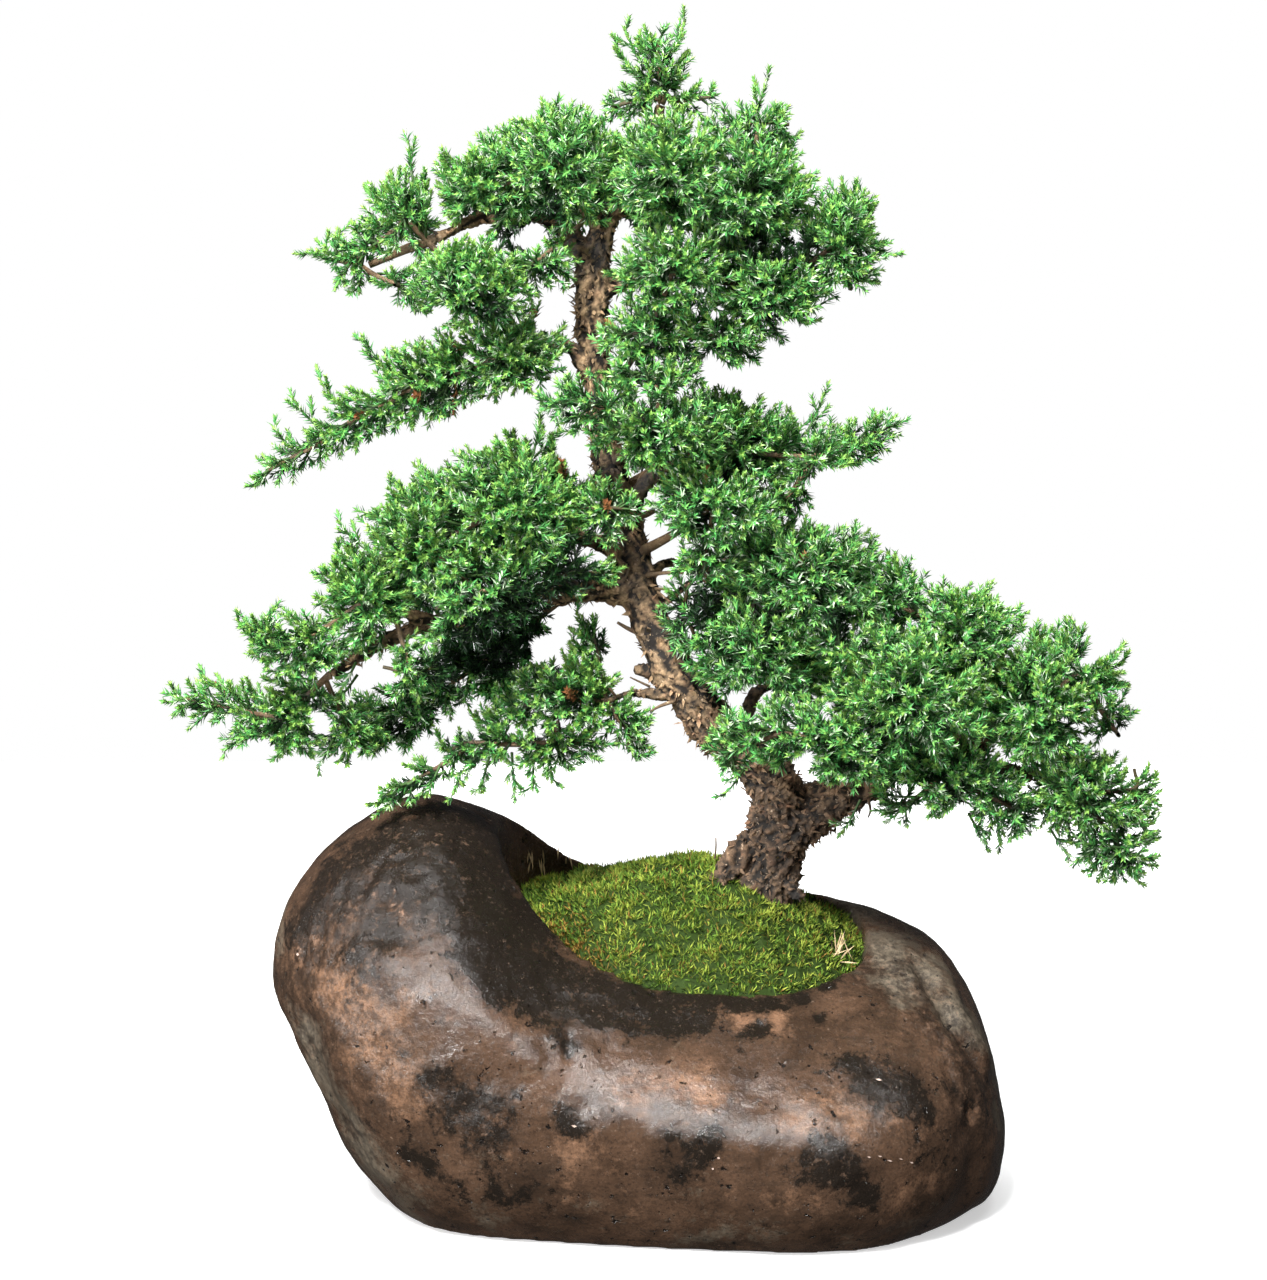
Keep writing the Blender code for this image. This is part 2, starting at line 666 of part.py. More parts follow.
def ground_solid(name, lower, upper):
    """A closed solid between two surfaces, each given as rings and a middle point."""
    points = []
    for rings, middle in (lower, upper):
        for ring in rings:
            points.extend(ring)
        points.append(middle)
    sides = POCKET_SIDES
    first = len(lower[0]) * sides + 1
    faces = []
    for start, count, facing_up in ((0, len(lower[0]), False), (first, len(upper[0]), True)):
        middle = start + count * sides
        for side in range(sides):
            nxt = (side + 1) % sides
            for ring in range(count - 1):
                outer = start + ring * sides
                inner = outer + sides
                quad = (outer + side, outer + nxt, inner + nxt, inner + side)
                faces.append(quad if facing_up else tuple(reversed(quad)))
            inner = start + (count - 1) * sides
            fan = (inner + side, inner + nxt, middle)
            faces.append(fan if facing_up else tuple(reversed(fan)))
    for side in range(sides):
        nxt = (side + 1) % sides
        faces.append((side, nxt, first + nxt, first + side))
    return make_object(name, points, faces)


def make_seat(radius, top):
    """Level round pad under the trunk's foot."""
    foot = TRUNK_STATIONS[0]
    points = []
    for height in (foot[2] - SEAT_DEPTH, top):
        for side in range(SEAT_SIDES):
            angle = 2.0 * math.pi * side / SEAT_SIDES
            points.append((foot[0] + radius * math.cos(angle), foot[1] + radius * math.sin(angle), height))
    return make_object("seat", points, ring_faces(2, SEAT_SIDES))


def make_pot(material):
    pot = make_boulder()
    flatten_underside(pot)
    edges = pocket_ring(POCKET_FLOOR, 0.0) + pocket_ring(POCKET_CUT_TOP, 0.0)
    cutter = make_object("pocket", edges, ring_faces(2, POCKET_SIDES))
    combine(pot, "DIFFERENCE", cutter)
    discard(cutter)
    keep_main_body(pot)
    return finish(pot, material, smooth_angle=40)


def make_soil(trunk, material):
    """Soil up to the underside of the moss, with a level seat cut for the trunk's foot."""
    base = POCKET_FLOOR + GAP
    floor = pocket_ring(base, GAP)
    upper = ground_grid(MOSS_AT_CREST + GAP, MOSS_AT_RIM + GAP, GAP)
    soil = ground_solid("soil", ([floor], (CREST[0], CREST[1], base)), upper)
    seat = make_seat(SEAT_RADIUS, TRUNK_STATIONS[0][2] + SEAT_LIP)
    combine(soil, "UNION", seat)
    discard(seat)
    cut_round(soil, trunk)
    keep_main_body(soil)
    return finish(soil, material, smooth_angle=50)


def make_moss(trunk, material):
    """A carpet of moss on the soil, open round the trunk."""
    lower = ground_grid(MOSS_AT_CREST, MOSS_AT_RIM, GAP)
    upper = ground_grid(0.0, 0.0, GAP)
    moss = ground_solid("moss", lower, upper)
    seat = make_seat(SEAT_RADIUS + GAP, TRUNK_STATIONS[0][2] + SEAT_LIP + GAP)
    combine(moss, "DIFFERENCE", seat)
    discard(seat)
    cut_round(moss, trunk)
    keep_main_body(moss)
    return finish(moss, material, smooth_angle=50)


def cut_round(obj, limb):
    """Cut a limb's shape and a small gap out of a solid."""
    cutter = limb.solid("cutter", GAP)
    combine(obj, "DIFFERENCE", cutter)
    discard(cutter)


# Spaces of the masses

class Lobe:
    """One rounded space of a mass."""

    def __init__(self, owner, row):
        self.owner = owner
        self.centre = np.array(row[0:3], dtype=float)
        self.half = np.array(row[3:6], dtype=float)
        tilt = math.radians(row[6])
        c = math.cos(tilt)
        s = math.sin(tilt)
        self.turn = np.array([[c, 0, -s], [0, 1, 0], [s, 0, c]])
        self.core = row[7]

    def point(self, direction, share):
        """Place in a direction from the centre, at a share of the half-sizes."""
        return self.centre + self.turn @ (np.array(direction) * self.half * share)

    def depth(self, points):
        """How far out points lie: 0 at the centre and 1 on the lobe's skin."""
        return np.linalg.norm((points - self.centre) @ self.turn / self.half, axis=1)

    def area(self):
        return 4.0 * math.pi * float(np.prod(self.half)) ** (2.0 / 3.0)

    def long_axis(self):
        return self.turn[:, int(np.argmax(self.half))] * float(np.max(self.half))


class Spaces:
    """All lobes and limbs, to tell which places a mass may use."""

    def __init__(self, lobes, limbs, stems):
        self.lobes = lobes
        routes = [limb.path for limb in limbs] + list(stems.values())
        self.starts = np.vstack([route[:-1] for route in routes])
        self.ends = np.vstack([route[1:] for route in routes])
        widths = [np.maximum(limb.radii[:-1], limb.radii[1:]) for limb in limbs]
        widths += [np.full(len(route) - 1, STEM_RADIUS) for route in stems.values()]
        self.radii = np.concatenate(widths)
        owners = [limb.name for limb in limbs for _ in limb.path[1:]]
        owners += [owner for owner, route in stems.items() for _ in route[1:]]
        self.owners = np.array(owners)

    def in_own_space(self, owner, points):
        points = np.atleast_2d(points)
        own = np.min([lobe.depth(points) for lobe in self.lobes if lobe.owner == owner], axis=0)
        other = np.min([lobe.depth(points) for lobe in self.lobes if lobe.owner != owner], axis=0)
        return own + SPACE_MARGIN < other

    def clear_of_limbs(self, owner, points):
        """Whether points keep clear of all limbs, and of the stems of the other masses."""
        points = np.atleast_2d(points)[:, None, :]
        along = self.ends - self.starts
        length = np.sum(along ** 2, axis=1)
        t = np.clip(np.sum((points - self.starts) * along, axis=2) / length, 0.0, 1.0)
        distance = np.linalg.norm(points - self.starts - t[:, :, None] * along, axis=2) - self.radii
        return np.min(distance[:, self.owners != owner], axis=1) > LIMB_CLEARANCE

    def allowed(self, owner, points):
        return self.in_own_space(owner, points) & self.clear_of_limbs(owner, points)


# Masses of foliage

def stem_route(name, host, goal):
    """Route of a mass's stem: from the host's tip, or from inside the trunk, to the first lobe."""
    goal = Vector(goal)
    if name == "leader" or host.name != "trunk":
        ahead = Vector(host.tip_direction())
        start = Vector(host.path[-1]) + ahead * GAP
        return [start, start + ahead * STEM_LEAD, goal]
    nearest = max(0, host.nearest(goal) - 1)
    return [Vector(host.path[nearest]), goal]


def even_directions(count, turn):
    """Directions spread evenly over a sphere on a golden spiral."""
    for k in range(count):
        z = 1.0 - 2.0 * (k + 0.5) / count
        radius = math.sqrt(1.0 - z * z)
        angle = turn + k * GOLDEN_ANGLE
        yield np.array([radius * math.cos(angle), radius * math.sin(angle), z])


def make_core(lobe, spaces, limbs, limb_trees, rng):
    """A pointed body inside a lobe, drawn in where another mass or a limb is near."""
    work = bmesh.new()
    fine = float(np.min(lobe.half)) * lobe.core > FINE_CORE_SIZE
    bmesh.ops.create_icosphere(work, subdivisions=2 if fine else 1, radius=1.0)
    turn = Matrix.Rotation(rng.uniform(0.0, 2.0 * math.pi), 3, Vector(rng.choice(CORE_TURNS)))
    steps = np.linspace(CORE_LEAST, 1.0, CORE_STEPS)
    points = []
    for vert in work.verts:
        pointed = len(vert.link_edges) == CORNER_EDGES if fine else rng.random() < SMALL_CORE_POINTS
        share = CORE_POINT if pointed else lobe.core
        share *= rng.uniform(1.0 - CORE_LUMPS, 1.0 + CORE_LUMPS)
        ray = np.array([lobe.point(turn @ vert.co, share * step) for step in steps])
        allowed = spaces.allowed(lobe.owner, ray)
        reach = len(steps) if allowed.all() else int(np.argmin(allowed))
        points.append(ray[max(reach - 1, 0)])
    faces = [tuple(vert.index for vert in face.verts) for face in work.faces]
    work.free()
    core = make_object("core", points, faces)
    tree = tree_of(core)
    for limb in limbs:
        if tree.overlap(limb_trees[limb.name]):
            cut_round(core, limb)
    return keep_main_body(core)


def blade_outline(teeth):
    """Outline of a toothed blade as (forward, outward) shares: the root, one side, the tip."""
    rows = [(0.0, 0.0)]
    for tooth in range(teeth):
        share = (tooth + 1.0) / (teeth + BLADE_TIP)
        spread = math.sqrt(math.sin(math.pi * BLADE_BELLY * share))
        rows.append((share, spread))
        rows.append((share - BLADE_NOTCH / (teeth + 1.0), spread * BLADE_WAIST))
    rows.append((1.0, 0.0))
    return rows


def make_blade(root, tip, lean, width, teeth, rng):
    """Points of a toothed blade that stands for a spray of needles: flat below, ridged above."""
    root = Vector(root)
    along = Vector(tip) - root
    side = along.cross(Vector(lean)).normalized()
    normal = side.cross(along).normalized()
    rows = blade_outline(teeth)
    loop = rows + [(forward, -outward) for forward, outward in reversed(rows[1:-1])]
    points = []
    for forward, outward in loop:
        outward *= rng.uniform(*BLADE_VARIATION) * width / 2.0
        points.append(root + along * forward + side * outward)
    for tooth in range(teeth):
        points.append(root + along * rows[2 * tooth + 2][0] * BLADE_RIDGE + normal * BLADE_THICKNESS)
    return points


def blade_faces(teeth):
    """Faces from the outline up to the ridge points, and a flat underside."""
    rim = 4 * teeth + 2
    faces = []
    for side in (1, -1):
        ring = [(side * step) % rim for step in range(2 * teeth + 2)]
        strips = [(ring[0], ring[1], rim)]
        for tooth in range(teeth):
            ridge = rim + tooth
            strips.append((ring[2 * tooth + 1], ring[2 * tooth + 2], ridge))
            if tooth + 1 < teeth:
                strips.append((ring[2 * tooth + 2], ridge + 1, ridge))
                strips.append((ring[2 * tooth + 2], ring[2 * tooth + 3], ridge + 1))
        strips.append((ring[-2], ring[-1], rim + teeth - 1))
        faces += strips if side == 1 else [tuple(reversed(face)) for face in strips]
    return faces + [tuple(reversed(range(rim)))]


class Mass:
    """One mass of foliage while it grows."""

    def __init__(self, name, lobes, spaces, limbs, limb_trees, finished, rng):
        self.name = name
        self.lobes = lobes
        self.spaces = spaces
        self.limbs = limbs
        self.limb_trees = limb_trees
        self.finished = finished
        self.rng = rng
        self.body = []
        self.sprays = []
        self.spray_trees = []

    def blocked(self, points, faces):
        """Whether a spray meets a limb or a mass that is already there."""
        centre = sum(points, Vector()) / len(points)
        swollen = [(point + (point - centre).normalized() * GAP) * MM for point in points]
        tree = BVHTree.FromPolygons(swollen, faces)
        others = list(self.limb_trees.values()) + self.finished
        return any(tree.overlap(other) for other in others)

    def crowded(self, root, tip, points, faces):
        """Whether a spray's outer part meets another spray of this mass."""
        free = [root.lerp(tip, SPRAY_SUNK_SHARE)] + points[1:]
        tree = BVHTree.FromPolygons([point * MM for point in free], faces)
        if any(tree.overlap(other) for other in self.spray_trees):
            return True
        self.spray_trees.append(tree)
        return False

    def add_twig(self, start, end):
        self.body.append(tube("twig", (start, end), (TWIG_FOOT_RADIUS, TWIG_RADIUS), TWIG_SIDES))

    def add_stem(self, host, route):
        """Add the stem and return where its first twig may leave it."""
        if len(route) > 2:
            radius = min(STEM_RADIUS, STEM_FIT * float(host.radii[-1]))
            self.body.append(tube("stem", route, (radius, radius, TWIG_RADIUS), TWIG_SIDES))
            return route[1]
        stem = tube("stem", route, (STEM_RADIUS, TWIG_RADIUS), TWIG_SIDES)
        cut_round(stem, host)
        self.body.append(keep_main_body(stem))
        bark = BARK_MARGIN * float(host.radii[host.nearest(route[0])])
        return route[0] + (route[1] - route[0]).normalized() * (bark + STEM_LEAD)

    def grow(self, host, route):
        """Grow the stem, a twig to each lobe from the nearest one before it, and the foliage."""
        nodes = [self.add_stem(host, route)]
        parents = []
        for lobe in self.lobes:
            centre = Vector(lobe.centre)
            parents.append(min(nodes, key=lambda node: (node - centre).length))
            nodes.append(centre)
        for lobe, parent, centre in zip(self.lobes, parents, nodes[1:]):
            if lobe is not self.lobes[0]:
                self.add_twig(parent, centre)
            if lobe.core > 0:
                core = make_core(lobe, self.spaces, self.limbs, self.limb_trees, self.rng)
                self.draw_in(core, centre)
                self.body.append(core)
                self.dress_core(lobe, parent, tree_of(core))
            else:
                self.dress_twig(lobe, parent, at_end=centre not in parents)

    def draw_in(self, core, centre):
        """Draw a core in towards its lobe's centre until it clears the masses round it."""
        middle = Matrix.Translation(centre * MM)
        shrink = middle @ Matrix.Scale(CORE_SHRINK, 4) @ middle.inverted()
        for _ in range(CORE_TRIES):
            tree = tree_of(core)
            if not any(tree.overlap(other) for other in self.finished):
                break
            core.data.transform(shrink)

    def try_spray(self, root, direction, lobe, lean, teeth):
        """Add a spray from a root to the lobe's skin, shorter where its space ends."""
        for reach in SPRAY_REACHES:
            tip = Vector(lobe.point(direction, reach * self.rng.uniform(*REACH_VARIATION)))
            length = (tip - root).length
            if length < SPRAY_SHORTEST:
                return
            faces = blade_faces(teeth)
            width = min(SPRAY_WIDEST, SPRAY_WIDTH_SHARE * length)
            points = make_blade(root, tip, lean, width, teeth, self.rng)
            outer = np.array([tuple(point) for point in points[1:4 * teeth + 2]])
            if not self.spaces.allowed(lobe.owner, outer).all() or self.blocked(points, faces):
                continue
            if self.crowded(root, tip, points, faces):
                continue
            self.sprays.append(make_object("spray", points, faces))
            return

    def inside_sister(self, lobe, direction):
        """Whether a lobe's skin is buried in another lobe of the same mass there."""
        skin = lobe.point(direction, 1.0)[None, :]
        return any(sister.depth(skin)[0] < BURIED_DEPTH for sister in self.lobes if sister is not lobe)

    def dress_core(self, lobe, parent, core_tree):
        """Sprays that stand out of a core, leaning away from the stem, with their roots sunk in it."""
        count = max(SPRAY_FEWEST, round(lobe.area() / SPRAY_SPACING ** 2))
        centre = Vector(lobe.centre)
        sweep = (centre - parent).normalized() * SPRAY_SWEEP
        for direction in even_directions(count, self.rng.uniform(0.0, 2.0 * math.pi)):
            if self.inside_sister(lobe, direction):
                continue
            outward = Vector(lobe.point(direction, 1.0)) - centre - sweep
            hit = core_tree.ray_cast(centre * MM, outward)[0]
            if hit is None:
                continue
            root = hit / MM - outward.normalized() * ROOT_SUNK
            sway = self.rng.uniform(-SPRAY_LEAN, SPRAY_LEAN)
            lean = Vector((sway, self.rng.uniform(-SPRAY_LEAN, SPRAY_LEAN), 1.0))
            self.try_spray(root, direction, lobe, lean, CORE_SPRAY_TEETH)

    def dress_twig(self, lobe, parent, at_end):
        """Sprays in a fan from the twig of a loose lobe, and one straight on where the twig ends."""
        centre = Vector(lobe.centre)
        axis = Vector(lobe.long_axis())
        if axis.dot(centre - parent) < 0:
            axis = -axis
        upright = abs(axis.z) > abs(axis.x)
        normal = Vector((0.0, 1.0, 0.0)) if upright else axis.cross(Vector((0.0, 0.0, 1.0))).normalized()
        inward = parent - centre
        inward *= min(1.0, FAN_LENGTH * axis.length / inward.length)
        for number, (spread, start) in enumerate(FAN):
            if spread == 0.0 and not at_end:
                continue
            heading = Matrix.Rotation(spread, 3, normal) @ axis.normalized()
            heading += normal * (FAN_DEPTH if number % 2 else -FAN_DEPTH)
            local = Vector(lobe.turn.T @ np.array(heading) / lobe.half).normalized()
            lean = Matrix.Rotation(self.rng.uniform(-FAN_ROLL, FAN_ROLL), 3, heading) @ normal
            self.try_spray(centre + inward * start, local, lobe, lean, FAN_SPRAY_TEETH)


def main():
    clear_scene()
    materials = {name: make_material(name) for name in FINISHES}
    limbs = {"trunk": grow_trunk()}
    for name, host, foot_radius, tip_radius, route in BOUGHS:
        limbs[name] = grow_bough(name, limbs[host], foot_radius, tip_radius, route)
    make_pot(materials["glazed_pot"])
    make_soil(limbs["trunk"], materials["soil"])
    make_moss(limbs["trunk"], materials["moss"])
    limb_trees = {}
    hosts = {"trunk": None}
    for name, host, *_ in BOUGHS:
        hosts[name] = host
    for name, limb in limbs.items():
        obj = limb.solid(name)
        if hosts[name]:
            cut_round(obj, limbs[hosts[name]])
            keep_main_body(obj)
        finish(obj, materials["bark"], smooth_angle=60)
        limb_trees[name] = tree_of(obj)
    lobes = [Lobe(name, row) for name, _, rows in MASSES for row in rows]
    carriers = {name: limbs["trunk" if host == "trunk_tip" else host] for name, host, _ in MASSES}
    stems = {name: stem_route(name, carriers[name], rows[0][:3]) for name, _, rows in MASSES}
    spaces = Spaces(lobes, list(limbs.values()), stems)
    finished = []
    for number, (name, _, _) in enumerate(MASSES):
        own = [lobe for lobe in lobes if lobe.owner == name]
        rng = random.Random(SEED + number)
        mass = Mass(name, own, spaces, list(limbs.values()), limb_trees, finished, rng)
        mass.grow(carriers[name], stems[name])
        obj = fused("foliage_" + name, mass.body, mass.sprays)
        finish(obj, materials["foliage"])
        finished.append(tree_of(obj))


main()
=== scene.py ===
"""Looks of a juniper bonsai in a glazed pot shaped like a boulder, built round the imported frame.

Tables and lengths are in millimetres on the frame's own axes: X to the right, Y away from the
viewer, Z up. The tables of the pot, the ground, the limbs and the lobes are those of the part's
source, and the rule by which a mass grows is carried on here to fine twigs and needles.
"""
import math

import bmesh
import bpy
import numpy as np
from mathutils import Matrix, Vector, noise

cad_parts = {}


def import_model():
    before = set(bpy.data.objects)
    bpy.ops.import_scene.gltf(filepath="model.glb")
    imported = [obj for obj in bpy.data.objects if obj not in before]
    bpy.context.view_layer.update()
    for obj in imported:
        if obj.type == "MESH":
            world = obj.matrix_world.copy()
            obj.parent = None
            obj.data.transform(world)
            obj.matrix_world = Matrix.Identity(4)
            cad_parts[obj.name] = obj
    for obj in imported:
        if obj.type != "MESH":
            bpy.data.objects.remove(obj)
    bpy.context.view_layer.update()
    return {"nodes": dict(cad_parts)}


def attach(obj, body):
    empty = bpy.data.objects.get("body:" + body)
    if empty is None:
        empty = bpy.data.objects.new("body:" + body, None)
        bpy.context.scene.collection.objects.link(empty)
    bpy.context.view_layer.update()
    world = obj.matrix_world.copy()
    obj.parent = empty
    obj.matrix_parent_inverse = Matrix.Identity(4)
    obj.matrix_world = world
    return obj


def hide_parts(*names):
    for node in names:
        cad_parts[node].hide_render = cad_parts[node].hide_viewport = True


MM = 0.001
TINY = 1e-6
SEED = 41

# Camera at the photograph's viewing angle
CAMERA_LENS = 91.4
CAMERA_SENSOR = 36.0
CAMERA_CLIP = (0.05, 30.0)
CAMERA_DISTANCE = 1300.0
CAMERA_ELEVATION = math.radians(9.0)
CAMERA_TARGET = (-2.6, 0.0, 227.6)

# Stage
FLOOR_HALF = 900.0
FLOOR_GLOW = 0.5
WORLD_LIGHT = 0.22
WORLD_GLOSS = 0.05
WORLD_SEEN = 1.0

# Pot: curves along X, from the left end to the right end, as (x, value)
POT_LEFT = -150.0
POT_RIGHT = 148.0
POT_MIDDLE = (POT_LEFT + POT_RIGHT) / 2.0
POT_HALF = (POT_RIGHT - POT_LEFT) / 2.0
POT_RIDGE_HEIGHT = ((-150, 92), (-143, 121), (-117, 149), (-87, 161), (-57, 151), (-28, 132), (10, 120),
                    (45, 118), (78, 112), (106, 106), (130, 90), (148, 24))
POT_RIDGE_SETBACK = ((-150, 0), (-84, 10), (-30, 28), (30, 34), (80, 34), (116, 24), (148, 0))
POT_WAIST_HEIGHT = ((-150, 92), (-114, 80), (-50, 58), (30, 46), (100, 40), (148, 24))
POT_KEEL_HEIGHT = ((-150, 92), (-143, 72), (-129, 43), (-116, 16), (-99, -3), (-70, -20), (0, -27),
                   (80, -27), (110, -14), (130, -5), (141, 0), (148, 24))
POT_FRONT = ((-150, 0), (-142, -27), (-114, -61), (-78, -79), (-25, -89), (24, -94), (75, -95), (109, -84),
             (137, -52), (148, 0))
POT_BACK = ((-150, 0), (-142, 24), (-114, 54), (-78, 73), (-25, 85), (24, 91), (75, 89), (109, 77),
            (137, 46), (148, 0))
POT_FRONT_ROUNDNESS = ((-150, 2.0), (-84, 1.95), (-30, 1.6), (60, 1.5), (116, 1.8), (148, 2.0))
POT_BACK_ROUNDNESS = 2.2
POT_KEEL_ROUNDNESS = 2.5
POT_RINGS = 190
POT_SIDES = 240
POT_VOXEL = 2.2
SKIN_SMOOTHING = 0.5
SKIN_SMOOTHINGS = 2
POT_LUMPS = ((62.0, 2.0), (24.0, 0.6), (8.0, 0.22))
POT_CRUMBS = (8.0, 1.3)
POT_BASE_FADE = 8.0

# Marks on the pot, as (x, y, z, radius, strength)
# Soot is black glaze, and painted shade on the pocket's inner wall and in the hollow between the left hump
# and the pocket
POT_SOOT_AND_SHADE = (
    (0, -47, 95, 6, 1.0), (12, -48, 93, 6, 1.0), (25, -48, 92, 6, 1.0), (38, -48, 91, 6, 1.0),
    (51, -47, 91, 6, 1.0), (63, -42, 92, 6, 1.0), (73, -33, 94, 6, 0.9), (10, -62, 84, 9, 0.5),
    (-80, -38, 140, 24, 0.8), (-95, -38, 142, 16, 0.55), (-102, -28, 146, 16, 0.6),
    (-62, -12, 148, 16, 1.0), (-48, -55, 110, 13, 1.0), (-35, -52, 102, 12, 1.0),
    (-18, -52, 96, 12, 1.0), (-60, -40, 128, 16, 1.0), (-44, -36, 120, 12, 1.0),
    (-120, -20, 140, 14, 0.5), (-138, -24, 116, 12, 0.5), (-103, -60, 108, 10, 0.5),
    (-73, -23, 150, 20, 1.0), (-67, -38, 138, 17, 1.0), (-59, -52, 121, 15, 1.0),
    (-54, -60, 111, 13, 0.9), (-80, -15, 152, 16, 0.9), (-58, -63, 110, 11, 0.8),
    (-43, -61, 102, 12, 1.0), (-27, -60, 94, 11, 1.0), (-12, -60, 90, 11, 0.9), (4, -57, 89, 11, 0.85),
    (23, -57, 86, 10, 0.7), (43, -60, 83, 9, 0.5), (-97, -57, 119, 8, 0.8), (-103, -52, 126, 6, 0.7),
    (-130, -29, 124, 9, 0.55), (-118, -35, 133, 9, 0.5), (-113, -54, 114, 8, 0.6),
    (-125, -20, 136, 10, 0.4), (-81, -78, 68, 9, 0.5), (-69, -81, 58, 11, 0.7), (-57, -84, 47, 11, 0.7),
    (-54, -84, 62, 9, 0.5), (-26, -89, 53, 6, 0.85), (-30, -87, 59, 5, 0.7), (-43, -83, 27, 7, 0.6),
    (-85, -73, 36, 10, 0.55), (-73, -75, 26, 10, 0.6), (-54, -79, 24, 9, 0.5), (-28, -74, 81, 5, 0.9),
    (19, -94, 45, 9, 0.7), (9, -93, 49, 7, 0.5), (28, -93, 50, 8, 0.5), (13, -93, 36, 8, 0.6),
    (72, -95, 41, 10, 0.95), (66, -95, 44, 8, 0.8), (80, -94, 37, 7, 0.7), (87, -92, 26, 7, 0.7),
    (85, -72, 71, 9, 0.85), (92, -78, 65, 10, 0.9), (102, -74, 65, 10, 0.9), (109, -77, 57, 7, 0.8),
    (129, -60, 51, 5, 0.9), (121, -62, 60, 5, 0.8), (118, -74, 44, 8, 0.4), (70, -52, 85, 4, 0.8),
    (47, -58, 84, 4, 0.7), (-45, -3, 138, 8, 0.8), (-33, 14, 133, 9, 0.8))
POT_TAN = (
    (-90, -17, 156, 11, 0.7), (-117, -19, 144, 9, 0.4), (-94, -52, 131, 6, 0.7),
    (-138, -30, 104, 9, 0.5), (-125, -49, 98, 10, 0.5), (-112, -61, 96, 13, 0.8),
    (-100, -70, 78, 14, 0.8), (-92, -73, 60, 11, 0.7), (-94, -70, 94, 9, 0.6), (28, -54, 86, 5, 0.9),
    (41, -54, 85, 6, 1.0), (53, -54, 84, 6, 0.9), (60, -87, 59, 10, 0.5), (80, -86, 58, 11, 0.6),
    (99, -84, 55, 9, 0.6), (110, -80, 50, 7, 0.5), (23, -80, 68, 12, 0.6), (0, -79, 71, 10, 0.4),
    (100, -86, 20, 9, 0.6), (111, -81, 27, 7, 0.5), (60, -95, 31, 9, 0.4), (-24, -89, 40, 12, 0.45),
    (129, -58, 51, 8, 0.6))
# Grey is grey glaze and a painted grey-green sheen on the flanks and low edges, added to on surfaces that
# face the back
POT_GREY_AND_SHEEN = (
    (-134, -38, 74, 14, 0.9), (-110, -52, 30, 16, 0.9), (-100, -60, 16, 16, 0.8),
    (-118, -50, 48, 14, 0.7), (-130, -40, 62, 13, 0.9), (-126, -42, 54, 13, 0.9),
    (-116, -47, 35, 13, 0.8), (-106, -40, 14, 12, 0.7), (-91, -50, 5, 12, 0.5), (86, 31, 111, 16, 0.9),
    (103, 0, 101, 16, 0.85), (103, -28, 95, 14, 0.8), (123, -28, 86, 14, 0.9), (117, -10, 95, 16, 0.9),
    (133, -20, 72, 14, 0.9), (140, -21, 61, 12, 0.9), (143, -33, 39, 12, 0.7), (143, -30, 23, 12, 0.7),
    (23, -83, 8, 16, 0.45), (81, -87, 10, 14, 0.4), (-54, -71, 9, 14, 0.5), (-20, -84, 10, 16, 0.4),
    (50, -90, 12, 12, 0.4), (110, -78, 12, 12, 0.5), (-146, -10, 110, 12, 0.7), (-148, 0, 90, 14, 0.8),
    (-143, 5, 122, 12, 0.6))
GREY_AND_SHEEN_BACK = 0.35
POT_ROUGH = (
    (-110, -42, 128, 24, 1.0), (-95, -52, 128, 18, 1.0), (-85, -25, 150, 22, 0.9),
    (-130, -30, 112, 20, 0.9), (-110, -62, 95, 20, 0.7), (-96, -70, 70, 18, 0.5),
    (105, -20, 96, 24, 0.8), (125, -40, 80, 20, 0.8), (133, -50, 55, 16, 0.8), (-134, -38, 74, 18, 0.8),
    (-116, -47, 35, 18, 0.7), (-60, -82, 52, 16, 0.5), (76, -94, 41, 14, 0.5), (-20, -60, 92, 18, 0.3),
    (100, -80, 60, 16, 0.4), (0, 90, 80, 80, 0.6))

# Grooves in the pot, and ridges where the depth is below 0: width, depth, and the line they follow
POT_GROOVES = (
    (4.0, 2.2, ((-100, -47, 134), (-98, -48, 131))),
    (4.5, 2.5, ((-103, -54, 124), (-99, -56, 122))),
    (2.8, 1.6, ((-105, -55, 120), (-97, -59, 119), (-87, -61, 120))),
    (3.0, -1.0, ((-95, -45, 138), (-88, -50, 134), (-87, -56, 128))),
    (2.8, 1.5, ((-28, -71, 84), (-27, -77, 78))),
    (2.6, 1.0, ((-38, -76, 82), (-34, -78, 77))),
    (12.0, 3.0, ((-134, -38, 74), (-126, -42, 54), (-116, -47, 35), (-106, -40, 14))),
    (5.0, -1.0, ((-130, -44, 93), (-116, -60, 82), (-106, -66, 65), (-95, -67, 34))),
    (4.0, 3.6, ((112, -12, 96), (119, -26, 90), (125, -41, 79), (134, -40, 66))),
    (7.0, -2.6, ((124, -12, 92), (131, -28, 82), (138, -30, 66))),
    (3.0, 1.6, ((100, -20, 97), (108, -34, 88), (114, -46, 78))),
    (3.0, 1.4, ((92, -14, 100), (100, -34, 91), (102, -48, 80))),
    (9.0, 2.4, ((131, -66, 44), (134, -62, 30), (128, -62, 16))),
    (2.8, 1.6, ((120, -59, 67), (123, -66, 55))),
    (3.5, 2.2, ((129, -60, 51), (130, -59, 50))),
    (2.8, 1.2, ((69, -52, 85), (71, -52, 85))),
    (2.8, 1.2, ((46, -58, 84), (48, -58, 84))),
    (13.0, -2.2, ((-98, -64, 112), (-85, -71, 104), (-71, -75, 96), (-57, -77, 89), (-39, -79, 80))))
POT_WORN = ((-98, -64, 109), (-71, -75, 94), (-39, -79, 78), (0, -79, 71), (37, -80, 67))
POT_WORN_WIDTH = 13.0

